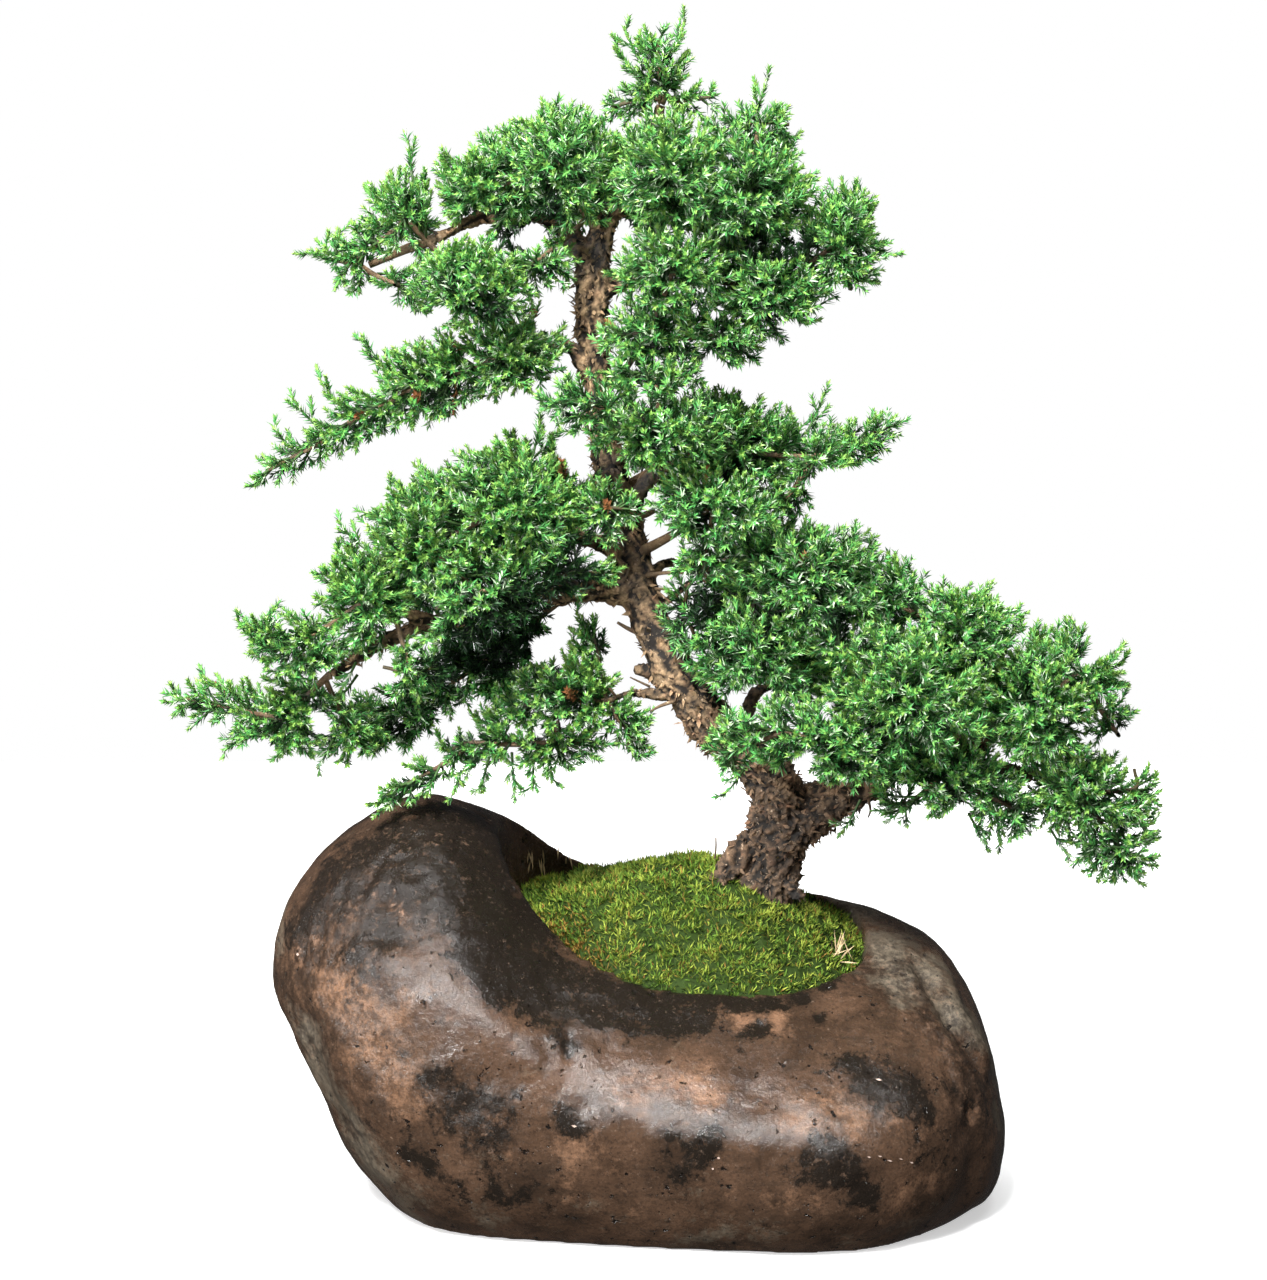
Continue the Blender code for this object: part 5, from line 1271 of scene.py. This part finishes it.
class Spaces:
    """All lobes and limbs, to tell which places a mass may use."""

    def __init__(self, lobes, limbs):
        self.lobes = lobes
        self.starts, self.ends = straight_pieces(limbs)
        self.radii = np.concatenate([np.maximum(limb.radii[:-1], limb.radii[1:]) for limb in limbs])

    def depth(self, owner, points):
        return np.min([lobe.depth(points) for lobe in self.lobes if lobe.owner == owner], axis=0)

    def in_own_space(self, owner, points):
        other = np.min([lobe.depth(points) for lobe in self.lobes if lobe.owner != owner], axis=0)
        return self.depth(owner, points) + SPACE_MARGIN < other

    def clear_of_limbs(self, points):
        points = points[:, None, :]
        along = self.ends - self.starts
        length2 = np.sum(along ** 2, axis=1)
        t = np.clip(np.sum((points - self.starts) * along, axis=2) / length2, 0.0, 1.0)
        distance = np.linalg.norm(points - self.starts - t[:, :, None] * along, axis=2) - self.radii
        return np.min(distance, axis=1) > LIMB_CLEARANCE

    def allowed(self, owner, points):
        free = self.in_own_space(owner, points) & self.clear_of_limbs(points)
        return free & ~in_circles(points, OPENINGS)


# Growth of the masses

def stem_route(name, host, goal):
    """Route of a mass's stem: from the host's tip, or from inside the trunk, to the first lobe."""
    goal = np.array(goal, dtype=float)
    if name == "leader" or host.name != "trunk":
        ahead = host.tip_direction()
        start = host.path[-1] + ahead * GAP
        return [start, start + ahead * STEM_LEAD, goal]
    return [host.place_before(goal), goal]


def even_directions(count, turn):
    """Directions spread evenly over a sphere on a golden spiral."""
    k = np.arange(count)
    z = 1.0 - 2.0 * (k + 0.5) / count
    radius = np.sqrt(1.0 - z * z)
    angle = turn + k * GOLDEN_ANGLE
    return np.stack([radius * np.cos(angle), radius * np.sin(angle), z], 1)


def bend(curve, t):
    """Points at shares t along curves given by their start, middle and end."""
    start, middle, end = curve
    t = np.asarray(t)[..., None]
    return start * (1 - t) ** 2 + middle * 2 * t * (1 - t) + end * t ** 2


def heading(curve, t):
    start, middle, end = curve
    t = np.asarray(t)[..., None]
    return unit((middle - start) * (1 - t) + (end - middle) * t)


class Foliage:
    """Twigs and shoots of one mass while it grows."""

    def __init__(self, name, lobes, spaces, rng, twigs):
        self.name = name
        self.lobes = lobes
        self.spaces = spaces
        self.rng = rng
        self.twigs = twigs
        self.shoots = []

    def add_twig(self, path, radii, sides=TWIG_SIDES, tone=TWIG_BARK):
        points = tube_points(path, radii, sides)
        self.twigs.add(points, grid_faces(len(path), sides), tone)

    def grow(self, host, route):
        """The stem, a twig to each lobe from the nearest one before it, branchlets and sprigs."""
        nodes = [self.add_stem(host, route)]
        parents = []
        for lobe in self.lobes:
            parents.append(min(nodes, key=lambda node: np.linalg.norm(node - lobe.centre)))
            nodes.append(lobe.centre)
        for lobe, parent in zip(self.lobes, parents):
            if lobe is not self.lobes[0]:
                route = [parent, (parent + lobe.centre) / 2 - TWIG_SAG, lobe.centre]
                radii = np.linspace(TWIG_FOOT_RADIUS, TWIG_RADIUS, TWIG_RINGS)
                self.add_twig(smooth_path(route, TWIG_RINGS), radii)
            self.dress(lobe, parent)
        for root, tip in SPRIGS.get(self.name, ()):
            self.add_sprig(np.array(root, dtype=float), np.array(tip, dtype=float))

    def add_stem(self, host, route):
        if len(route) > 2:
            rings = STEM_RINGS[0]
            radius = min(STEM_RADIUS, STEM_FIT * float(host.radii[-1]))
            self.add_twig(smooth_path(route, rings), np.linspace(radius, TWIG_RADIUS, rings))
            return route[1]
        rings = STEM_RINGS[1]
        path = smooth_path([route[0], (route[0] + route[1]) / 2 - STEM_SAG, route[1]], rings)
        self.add_twig(path, np.linspace(STEM_RADIUS, TWIG_RADIUS, rings))
        bark = BARK_MARGIN * host.radius_near(route[0])
        return route[0] + unit(route[1] - route[0]) * (bark + STEM_LEAD)

    def dress(self, lobe, parent):
        """Branchlets that leave the twig through a lobe and end near the lobe's skin."""
        axis = lobe.long_axis()
        outward = unit(lobe.centre - parent)
        if axis.dot(outward) < 0:
            axis = -axis
        ends = [lobe.centre + axis * SPINE_AHEAD]
        if axis.dot(outward) < SPINE_BOTH_WAYS * np.linalg.norm(axis):
            ends.append(lobe.centre - axis * SPINE_AHEAD)
        places = []
        heads = []
        for end in ends:
            path = smooth_path([parent, lobe.centre, end], SPINE_POINTS)
            half = SPINE_POINTS // 2
            spine_radii = np.linspace(TWIG_RADIUS, BRANCHLET_RADIUS[0], len(path[half::2]))
            self.add_twig(path[half::2], spine_radii, TWIG_SIDES, TWIG_BROWN)
            places.append(path[1:])
            heads.append(unit(np.diff(path, axis=0)))
        places = np.vstack(places)
        heads = np.vstack(heads)
        inside = lobe.depth(places) < SPINE_DEPTH
        spine = (places[inside], heads[inside], np.zeros(np.count_nonzero(inside)))
        count = max(FEWEST_BRANCHLETS, round(lobe.area() / BRANCHLET_SPACING ** 2))
        directions = even_directions(count, self.rng.uniform(0.0, 2.0 * math.pi))
        directions = unit(directions + self.rng.normal(0.0, DIRECTION_JITTER, directions.shape))
        for direction in directions:
            self.add_branchlet(lobe, spine, direction)

    def add_branchlet(self, lobe, spine, direction):
        rng = self.rng
        jitter = rng.uniform(-REACH_JITTER, REACH_JITTER)
        roll = rng.uniform(-1.0, 1.0)
        skin = lobe.point(direction, 1.0)
        if any(sister.depth(skin[None, :])[0] < BURIED_DEPTH for sister in self.lobes if sister is not lobe):
            return
        reach = BRANCHLET_REACH + jitter + HUMMOCK_REACH * noise.noise(Vector(skin / HUMMOCK_SIZE))
        places, heads, uses = spine
        for step in REACH_STEPS:
            tip = lobe.point(direction, reach * step)
            toward = tip - places
            distance = np.linalg.norm(toward, axis=1)
            cosine = np.sum(toward * heads, axis=1) / distance
            cost = np.abs(cosine - LEAVING_COSINE) + distance * LEAVING_NEAR + uses * LEAVING_USED
            best = int(np.argmin(cost))
            root = places[best]
            length = distance[best]
            if length < BRANCHLET_SHORTEST:
                return
            middle = (root + tip) / 2 + heads[best] * length * BRANCHLET_AHEAD
            middle = middle - (0.0, 0.0, length * BRANCHLET_RISE)
            curve = (root, middle, tip)
            checks = bend(curve, np.linspace(BRANCHLET_BARE, 1.0, BRANCHLET_CHECKS))
            if self.spaces.allowed(self.name, checks).all():
                break
        else:
            return
        uses[best] += 1.0
        # Painted light: branchlets that face up are warmer and lighter, those that face down darker.
        tone = noise.noise(Vector(tip / TONE_PATCH)) + PAINTED_LIGHT_RISE * direction[2]
        tone = tone + rng.normal(0.0, TONE_JITTER) + WARMTH_AND_SHADE_BY_MASS.get(self.name, 0.0)
        self.add_shoots(curve, length, roll, tone)

    def add_shoots(self, curve, length, roll, tone, free=False):
        """One branchlet with its needles and side shoots."""
        path = bend(curve, np.linspace(0.0, 1.0, BRANCHLET_RINGS))
        radii = np.linspace(*BRANCHLET_RADIUS, BRANCHLET_RINGS)
        self.add_twig(path, radii, BRANCHLET_SIDES, TWIG_GREEN)
        self.shoots.append((*curve, BRANCHLET_BARE, True, tone))
        self.add_sides(curve, length, roll, tone, free)

    def add_sprig(self, root, tip):
        """A branchlet beyond the lobes."""
        length = float(np.linalg.norm(tip - root))
        middle = (root + tip) / 2 - (0.0, 0.0, length * SPRIG_SAG)
        tone = self.rng.normal(*SPRIG_TONE) + WARMTH_AND_SHADE_BY_MASS.get(self.name, 0.0)
        self.add_shoots((root, middle, tip), length, self.rng.uniform(-1.0, 1.0), tone, True)

    def add_sides(self, curve, length, roll, tone, free):
        """Side shoots, by turns to the left and right of a branchlet."""
        rng = self.rng
        count = max(FEWEST_SIDES, round(length * (SIDE_LAST - SIDE_FIRST) / SIDE_STEP))
        t = np.linspace(SIDE_FIRST, SIDE_LAST, count) + rng.uniform(-SIDE_JITTER, SIDE_JITTER, count)
        ahead = heading(curve, t)
        root = bend(curve, t)
        up = np.array((0.0, 0.0, 1.0)) + roll * np.cross(ahead, (0.0, 0.0, 1.0))
        lateral = unit(np.cross(ahead, up))
        normal = np.cross(lateral, ahead)
        side = np.where(np.arange(count) % 2 == 0, 1.0, -1.0)[:, None]
        angle = SIDE_ANGLE * rng.uniform(*SIDE_ANGLES, count)[:, None]
        lift = rng.normal(*SIDE_LIFT, count)[:, None]
        out = unit(ahead * np.cos(angle) + (lateral * side + normal * lift) * np.sin(angle))
        size = SIDE_LENGTH * (1.0 - SIDE_TAPER * t) * rng.uniform(*SIDE_LENGTHS, count)
        size = np.minimum(size, SIDE_SHARE * length)[:, None]
        middle = root + out * size * 0.5
        tip = root + out * size + (ahead * SIDE_AHEAD + np.array((0.0, 0.0, SIDE_RISE))) * size
        good = self.spaces.allowed(self.name, tip) & (self.spaces.depth(self.name, tip) < DEEPEST_REACH)
        good = good | free
        tones = tone + rng.normal(0.0, SIDE_TONE_JITTER, count)
        for a, b, c, d in zip(root[good], middle[good], tip[good], tones[good]):
            self.shoots.append((a, b, c, SIDE_BARE, False, d))

    def clothe(self, needles):
        """Needles in whorls along every shoot, and a thin green axis in the side shoots."""
        rng = self.rng
        starts, middles, ends, bare, main, warmth = (np.array(part) for part in zip(*self.shoots))
        self.add_axes(starts[~main], ends[~main])
        length = np.linalg.norm(ends - starts, axis=1)
        young = np.clip(warmth, 0.0, 1.0)
        step = WHORL_STEP * (1.0 - WARM_CROWDING * young)
        whorls = np.maximum(FEWEST_WHORLS, np.round(length * (1.0 - bare) / step)).astype(int)
        shaded = (self.spaces.depth(self.name, ends) < SHADE_DEPTH) | in_circles(ends, SHADED)
        dry = (rng.random(len(length)) < DRY_SHARE) & ~shaded
        whorl_shoot = np.repeat(np.arange(len(whorls)), whorls)
        whorl_rank = np.arange(len(whorl_shoot)) - np.repeat(np.cumsum(whorls) - whorls, whorls)
        shoot = np.repeat(whorl_shoot, WHORL_NEEDLES)
        rank = np.repeat(whorl_rank, WHORL_NEEDLES)
        share = (rank + WHORL_START) / whorls[shoot]
        count = len(shoot)
        t = share + rng.uniform(-WHORL_JITTER, WHORL_JITTER, count)
        t = np.clip(t, 0.0, 1.0) ** WHORL_CROWDING
        t = bare[shoot] + (1.0 - bare[shoot]) * t
        curve = (starts[shoot], middles[shoot], ends[shoot])
        base = bend(curve, t)
        ahead = heading(curve, t)
        across = unit(np.cross(ahead, ASKEW))
        over = np.cross(across, ahead)
        turn = (np.arange(count) % WHORL_NEEDLES) * (2.0 * math.pi / WHORL_NEEDLES) + rank * (math.pi / 3.0)
        turn = turn + rng.uniform(-NEEDLE_TURN, NEEDLE_TURN, count)
        radial = across * np.cos(turn)[:, None] + over * np.sin(turn)[:, None]
        openness = np.clip(OPENNESS[0] - OPENNESS[1] * warmth, *OPENNESS_RANGE)[shoot]
        spread = NEEDLE_SPREAD[0] + (NEEDLE_SPREAD[1] - NEEDLE_SPREAD[0]) * share ** 2
        spread = spread * openness * (1.0 + rng.normal(0.0, NEEDLE_JITTER, count))
        out = unit(ahead * np.cos(spread)[:, None] + radial * np.sin(spread)[:, None])
        size = NEEDLE_LENGTH * (1.0 - (1.0 - NEEDLE_TIP_LENGTH) * share ** 2) * openness
        size = size * rng.uniform(*NEEDLE_RANGE, count)
        width = NEEDLE_WIDTH * rng.uniform(*NEEDLE_RANGE, count) * (1.0 + YOUNG_WIDTH * young)[shoot]
        points, faces = kites(base, out, radial, size, width, NEEDLE_FOLD)
        by_warmth, by_share, jitter = LEVEL_SHARES
        level = by_warmth * warmth[shoot] + by_share * (share - LEVEL_MIDDLE)
        level = level + rng.normal(0.0, jitter, count)
        # Needles below the last level take the deep tone, which is painted shade between the shoots.
        colour = np.select([level > limit for limit in TONE_LEVELS], [WARM, FRESH, COOL], DEEP_SHADE)
        pale = (share < PALE_BEFORE) & (rng.random(count) < PALE_SHARE * openness ** 2)
        colour = np.where(pale, PALE, colour)
        # Shoots deep in a lobe or in the black-shade circles take the two shade tones, which are painted
        # shade.
        colour = np.where(shaded[shoot], np.where(level > DEEP_LEVEL, DEEP_SHADE, SHADE), colour)
        colour = np.where(dry[shoot], DRY, colour)
        needles.add(points, faces, np.repeat(colour, 2))

    def add_axes(self, starts, ends):
        """A folded strip for the axis of each side shoot."""
        length = np.linalg.norm(ends - starts, axis=1)
        out = (ends - starts) / length[:, None]
        radial = unit(np.cross(out, ASKEW))
        self.twigs.add(*kites(starts, out, radial, length, SIDE_AXIS_WIDTH, NEEDLE_FOLD), TWIG_GREEN)


def kites(base, out, radial, length, width, fold):
    """Folded blades of two faces: from the base past two shoulders to the tip."""
    width = np.broadcast_to(width, length.shape)
    side = np.cross(out, radial)
    side = side / np.maximum(np.linalg.norm(side, axis=1, keepdims=True), TINY)
    inward = -np.cross(side, out)
    belly = base + out * (length * NEEDLE_BELLY)[:, None] + inward * (width * fold)[:, None]
    half = side * (width / 2.0)[:, None]
    tip = base + out * length[:, None]
    points = np.stack([base, belly + half, tip, belly - half], 1).reshape(-1, 3)
    faces = 4 * np.arange(len(base))[:, None, None] + np.array(((0, 1, 2), (0, 2, 3)))
    return points, faces.reshape(-1, 3)


# Materials

class Surface:
    """A material under construction, with noise in the object's own coordinates."""

    def __init__(self, name, colour, roughness):
        self.material = bpy.data.materials.new(name)
        self.material.use_nodes = True
        self.tree = self.material.node_tree
        self.shader = self.tree.nodes["Principled BSDF"]
        self.shader.inputs["Base Color"].default_value = (*colour, 1.0)
        self.shader.inputs["Roughness"].default_value = roughness
        self.place = self.tree.nodes.new("ShaderNodeTexCoord").outputs["Object"]

    def set(self, **values):
        for name, value in values.items():
            self.shader.inputs[name.replace("_", " ")].default_value = value

    def link(self, source, target):
        self.tree.links.new(source, target)

    def noise(self, size, detail=4.0, roughness=0.55, distortion=0.0, stretch=None):
        """Noise with lumps of a size in millimetres, from 0 to 1."""
        node = self.tree.nodes.new("ShaderNodeTexNoise")
        node.inputs["Scale"].default_value = 1.0 / (size * MM)
        node.inputs["Detail"].default_value = detail
        node.inputs["Roughness"].default_value = roughness
        node.inputs["Distortion"].default_value = distortion
        place = self.place
        if stretch:
            mapping = self.tree.nodes.new("ShaderNodeMapping")
            mapping.inputs["Scale"].default_value = stretch
            self.link(place, mapping.inputs["Vector"])
            place = mapping.outputs["Vector"]
        self.link(place, node.inputs["Vector"])
        return node.outputs["Fac"]

    def value(self, name):
        node = self.tree.nodes.new("ShaderNodeAttribute")
        node.attribute_name = name
        return node.outputs["Fac"]

    def height(self):
        """Height on the object's own axes, in metres."""
        node = self.tree.nodes.new("ShaderNodeSeparateXYZ")
        self.link(self.place, node.inputs["Vector"])
        return node.outputs["Z"]

    def ramp(self, source, low, high, low_value=0.0, high_value=1.0):
        """Source stretched from the range low to high, and held inside it."""
        node = self.tree.nodes.new("ShaderNodeMapRange")
        node.inputs["From Min"].default_value = low
        node.inputs["From Max"].default_value = high
        node.inputs["To Min"].default_value = low_value
        node.inputs["To Max"].default_value = high_value
        self.link(source, node.inputs["Value"])
        return node.outputs["Result"]

    def mix(self, factor, first, second):
        """Two colours mixed by a factor. Each is a colour or another node's output."""
        node = self.tree.nodes.new("ShaderNodeMix")
        node.data_type = "RGBA"
        self.link(factor, node.inputs["Factor"])
        for socket, colour in ((node.inputs["A"], first), (node.inputs["B"], second)):
            if isinstance(colour, tuple):
                socket.default_value = (*colour, 1.0)
            else:
                self.link(colour, socket)
        return node.outputs["Result"]

    def paint(self, colour):
        self.link(colour, self.shader.inputs["Base Color"])

    def gloss(self, roughness):
        self.link(roughness, self.shader.inputs["Roughness"])

    def cover(self, colour, source, low, high, share, tone):
        """A colour under a tone that covers up to a share of it as the source rises from low to high."""
        return self.mix(self.ramp(source, low, high, 0.0, share), colour, tone)

    def mark(self, name, noise_output, share, low, high):
        """Where a value of the mesh shows, with an edge that is broken by noise."""
        return self.ramp(self.add(self.value(name), noise_output, share), low, high)

    def add(self, first, second, share):
        node = self.tree.nodes.new("ShaderNodeMath")
        node.operation = "MULTIPLY_ADD"
        self.link(second, node.inputs[0])
        node.inputs[1].default_value = share
        self.link(first, node.inputs[2])
        return node.outputs["Value"]

    def bump(self, height, depth, strength=1.0):
        """Bump from a height of 0 to 1, that deep in millimetres."""
        node = self.tree.nodes.new("ShaderNodeBump")
        node.inputs["Strength"].default_value = strength
        node.inputs["Distance"].default_value = depth * MM
        self.link(height, node.inputs["Height"])
        self.link(node.outputs["Normal"], self.shader.inputs["Normal"])


def glaze_material():
    """Brown glaze with soot, orange and grey where the tables put them; the soot is partly painted shade in
    hollows, the grey partly a painted sheen.
    """
    surface = Surface("glazed_pot", (0.08, 0.05, 0.03), 0.4)
    surface.set(Specular_IOR_Level=0.36)
    tones = GLAZE_TONES
    rough = surface.value("rough")
    cloud = surface.ramp(surface.noise(22.0, 8.0, 0.7), 0.38, 0.62)
    colour = surface.mix(cloud, tones["deep"], tones["brown"])
    tan = surface.mark("tan", surface.noise(13.0, 9.0, 0.75), 3.0, 1.75, 2.30)
    colour = surface.mix(tan, colour, tones["tan"])
    streak = surface.noise(6.0, 7.0, 0.7, 0.3, (0.22, 1.0, 1.0))
    colour = surface.cover(colour, streak, 0.52, 0.66, 0.55, tones["streak"])
    # Grey glaze with a painted sheen
    grey_and_sheen = surface.mark("grey_and_sheen", surface.noise(17.0, 9.0, 0.75), 3.0, 1.85, 2.40)
    grey_and_sheen_colour = surface.mix(surface.noise(5.0, 8.0, 0.75), tones["dark_grey_and_sheen"], tones["grey_and_sheen"])
    colour = surface.mix(grey_and_sheen, colour, grey_and_sheen_colour)
    # Black soot, and painted shade in the pocket and the hollow at the left hump
    soot_and_shade = surface.mark("soot_and_shade", surface.noise(11.0, 9.0, 0.78), 3.4, 1.93, 2.28)
    colour = surface.cover(colour, soot_and_shade, 0.0, 1.0, 0.98, tones["soot_and_shade"])
    crumb = surface.noise(3.6, 8.0, 0.8)
    dark = surface.mix(rough, (0.15, 0.15, 0.15), surface.ramp(crumb, 0.55, 0.44))
    colour = surface.mix(dark, colour, tones["crack"])
    light = surface.mix(rough, (0.0, 0.0, 0.0), surface.ramp(crumb, 0.56, 0.66, 0.0, 0.8))
    colour = surface.mix(light, colour, tones["crumb"])
    grain = surface.noise(1.3, 4.0, 0.75)
    colour = surface.cover(colour, grain, 0.50, 0.66, 0.6, tones["grain"])
    colour = surface.cover(colour, surface.noise(2.0, 6.0, 0.8, 0.3), 0.60, 0.70, 0.5, tones["pale"])
    pit = surface.ramp(surface.noise(4.2, 3.0, 0.6), 0.655, 0.70)
    colour = surface.mix(pit, colour, tones["pit"])
    surface.paint(colour)
    gloss = surface.ramp(surface.noise(3.4, 8.0, 0.8, 0.6), 0.42, 0.62, 0.10, 0.34)
    gloss = surface.add(gloss, surface.value("worn"), -0.04)
    gloss = surface.add(gloss, rough, 0.14)
    gloss = surface.add(gloss, grey_and_sheen, 0.25)
    surface.gloss(gloss)
    coarse = surface.mix(rough, (0.5, 0.5, 0.5), crumb)
    height = surface.add(surface.noise(7.0, 6.0, 0.7), coarse, 1.3)
    height = surface.add(height, grain, 0.18)
    height = surface.add(height, pit, -1.2)
    surface.bump(height, 0.75, 0.8)
    return surface.material


def chip_material():
    surface = Surface("pot_chip", (0.40, 0.28, 0.22), 0.5)
    colour = surface.mix(surface.noise(1.2, 3.0), (0.22, 0.13, 0.09), (0.62, 0.50, 0.43))
    surface.paint(colour)
    return surface.material


def bark_material():
    """Bark that is dark red-brown at the foot and olive brown above, with near-black painted shade in the
    cracks.
    """
    surface = Surface("bark", (0.15, 0.10, 0.07), 0.9)
    tones = BARK_TONES
    relief = surface.ramp(surface.value("relief"), -0.40, 0.55)
    fibre = surface.ramp(surface.noise(1.5, 6.0, 0.75, 0.4), 0.32, 0.68)
    low = surface.mix(fibre, tones["foot_dark"], tones["foot_light"])
    high = surface.mix(fibre, tones["top_dark"], tones["top_light"])
    colour = surface.mix(surface.ramp(surface.height(), 0.155, 0.215), low, high)
    colour = surface.cover(colour, surface.noise(6.0, 6.0, 0.7), 0.52, 0.64, 0.6, tones["rust"])
    # Painted shade: near black where the bark's relief is low, in the cracks
    colour = surface.mix(relief, tones["crack"], colour)
    # Painted highlights: pale flecks on the bark
    colour = surface.cover(colour, surface.noise(2.1, 4.0, 0.65), 0.62, 0.70, 0.8, tones["painted_glint"])
    surface.paint(colour)
    surface.gloss(surface.ramp(fibre, 0.0, 1.0, 0.72, 0.94))
    surface.bump(surface.noise(0.9, 5.0, 0.75), 0.6, 0.9)
    return surface.material


def twig_material(name, light, dark):
    surface = Surface(name, light, 0.8)
    colour = surface.mix(surface.noise(3.0, 3.0), dark, light)
    surface.paint(colour)
    surface.bump(surface.noise(0.9, 3.0), 0.2, 0.6)
    return surface.material


def needle_material(name, colour):
    """A plain colour, which is dealt out by spray, under a waxy bloom that varies."""
    surface = Surface(name, colour, 0.4)
    surface.set(Specular_IOR_Level=0.65)
    surface.gloss(surface.ramp(surface.noise(4.0, 2.0), 0.3, 0.7, 0.30, 0.50))
    return surface.material


def moss_material(name, colour):
    """A plain colour, which is dealt out by blade, with a dull sheen that varies."""
    surface = Surface(name, colour, 0.8)
    surface.set(Specular_IOR_Level=0.08)
    surface.gloss(surface.ramp(surface.noise(3.0, 3.0), 0.3, 0.7, 0.55, 0.90))
    surface.bump(surface.noise(0.8, 3.0), 0.2, 0.5)
    return surface.material


def soil_material():
    surface = Surface("soil", (0.05, 0.035, 0.022), 0.95)
    colour = surface.mix(surface.noise(2.0, 5.0, 0.7), (0.020, 0.013, 0.008), (0.120, 0.082, 0.050))
    surface.paint(colour)
    surface.bump(surface.noise(1.6, 5.0, 0.7), 1.2)
    return surface.material


# Stage

def look_at(obj, target):
    direction = Vector(target) - obj.location
    obj.rotation_euler = direction.to_track_quat("-Z", "Y").to_euler()


def add_light(name, place, target, size, energy, mirrored):
    """A soft light, or where mirrored is set, one that only shines back from glossy surfaces."""
    data = bpy.data.lights.new(name, "AREA")
    data.shape = "RECTANGLE"
    data.size = size[0]
    data.size_y = size[1]
    data.energy = energy
    light = bpy.data.objects.new(name, data)
    bpy.context.scene.collection.objects.link(light)
    light.location = place
    light.visible_glossy = mirrored
    light.visible_diffuse = not mirrored
    look_at(light, target)


def make_stage():
    target = np.array(CAMERA_TARGET) * MM
    data = bpy.data.cameras.new("camera")
    data.lens = CAMERA_LENS
    data.sensor_width = CAMERA_SENSOR
    data.clip_start, data.clip_end = CAMERA_CLIP
    camera = bpy.data.objects.new("camera", data)
    bpy.context.scene.collection.objects.link(camera)
    camera.location = camera_place() * MM
    look_at(camera, target)
    bpy.context.scene.camera = camera

    corners = [(x * FLOOR_HALF, y * FLOOR_HALF, 0.0) for x, y in ((-1, -1), (1, -1), (1, 1), (-1, 1))]
    paper = Surface("floor", (0.80, 0.80, 0.80), 0.8)
    paper.set(Emission_Color=(1.0, 1.0, 1.0, 1.0), Emission_Strength=FLOOR_GLOW)
    floor = mesh_object("floor", np.array(corners), np.array([[0, 1, 2, 3]]), [paper.material])
    floor.visible_diffuse = False
    floor.visible_glossy = False

    world = bpy.data.worlds.new("studio")
    bpy.context.scene.world = world
    world.use_nodes = True
    nodes = world.node_tree.nodes
    nodes["Background"].inputs["Color"].default_value = (1.0, 1.0, 1.0, 1.0)
    ray = nodes.new("ShaderNodeLightPath").outputs
    strength = nodes.new("ShaderNodeMapRange")
    strength.inputs["To Min"].default_value = WORLD_LIGHT
    strength.inputs["To Max"].default_value = WORLD_SEEN
    world.node_tree.links.new(ray["Is Camera Ray"], strength.inputs["Value"])
    dimmed = nodes.new("ShaderNodeMath")
    dimmed.operation = "MULTIPLY_ADD"
    dimmed.inputs[1].default_value = WORLD_GLOSS - WORLD_LIGHT
    world.node_tree.links.new(ray["Is Glossy Ray"], dimmed.inputs[0])
    world.node_tree.links.new(strength.outputs["Result"], dimmed.inputs[2])
    world.node_tree.links.new(dimmed.outputs["Value"], nodes["Background"].inputs["Strength"])
    for light in LIGHTS:
        add_light(*light)
    bpy.context.scene.view_settings.view_transform = "Standard"


def main():
    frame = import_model()
    rng = np.random.default_rng(SEED)
    limbs = grow_limbs()
    bark_finish = bark_material()
    twig_finishes = [twig_material(name, *colours) for name, colours in TWIG_TONES.items()]

    pot = make_pot(glaze_material(), chip_material())
    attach(pot, "root")
    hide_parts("pot")

    soil = frame["nodes"]["soil"]
    soil.data.materials.clear()
    soil.data.materials.append(soil_material())

    tones = [moss_material(name, colour) for name, colour in MOSS_TONES.items()]
    moss = make_moss(tones, rng, limbs["trunk"])
    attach(moss, "root")
    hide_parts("moss")

    bark = make_bark(list(limbs.values()), bark_finish, rng)
    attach(bark, "root")
    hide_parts(*limbs)

    lobes = [Lobe(name, row) for name, _, rows in MASSES for row in rows]
    spaces = Spaces(lobes, list(limbs.values()))
    needle_finishes = [needle_material(name, colour) for name, colour in NEEDLE_TONES.items()]
    twigs = Pile()
    grown = {}
    for number, (name, carrier, rows) in enumerate(MASSES):
        host = limbs["trunk" if carrier == "trunk_tip" else carrier]
        own = [lobe for lobe in lobes if lobe.owner == name]
        foliage = Foliage(name, own, spaces, np.random.default_rng(SEED + number), twigs)
        foliage.grow(host, stem_route(name, host, rows[0][:3]))
        grown[name] = foliage
    for piece, names in NEEDLE_PIECES.items():
        pile = Pile()
        for name in names:
            grown[name].clothe(pile)
        needles = pile.build(piece, needle_finishes)
        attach(needles, "root")
        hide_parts(*["foliage_" + name for name in names])
    for foot_radius, tip_radius, line in STUBS:
        radii = np.linspace(foot_radius, tip_radius, STUB_RINGS)
        twigs.add(*closed_tube(smooth_path(line, STUB_RINGS), radii, TWIG_SIDES), TWIG_BARK)
    twig_piece = twigs.build("twigs", [bark_finish, *twig_finishes], smooth=True)
    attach(twig_piece, "root")

    make_stage()
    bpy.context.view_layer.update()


main()
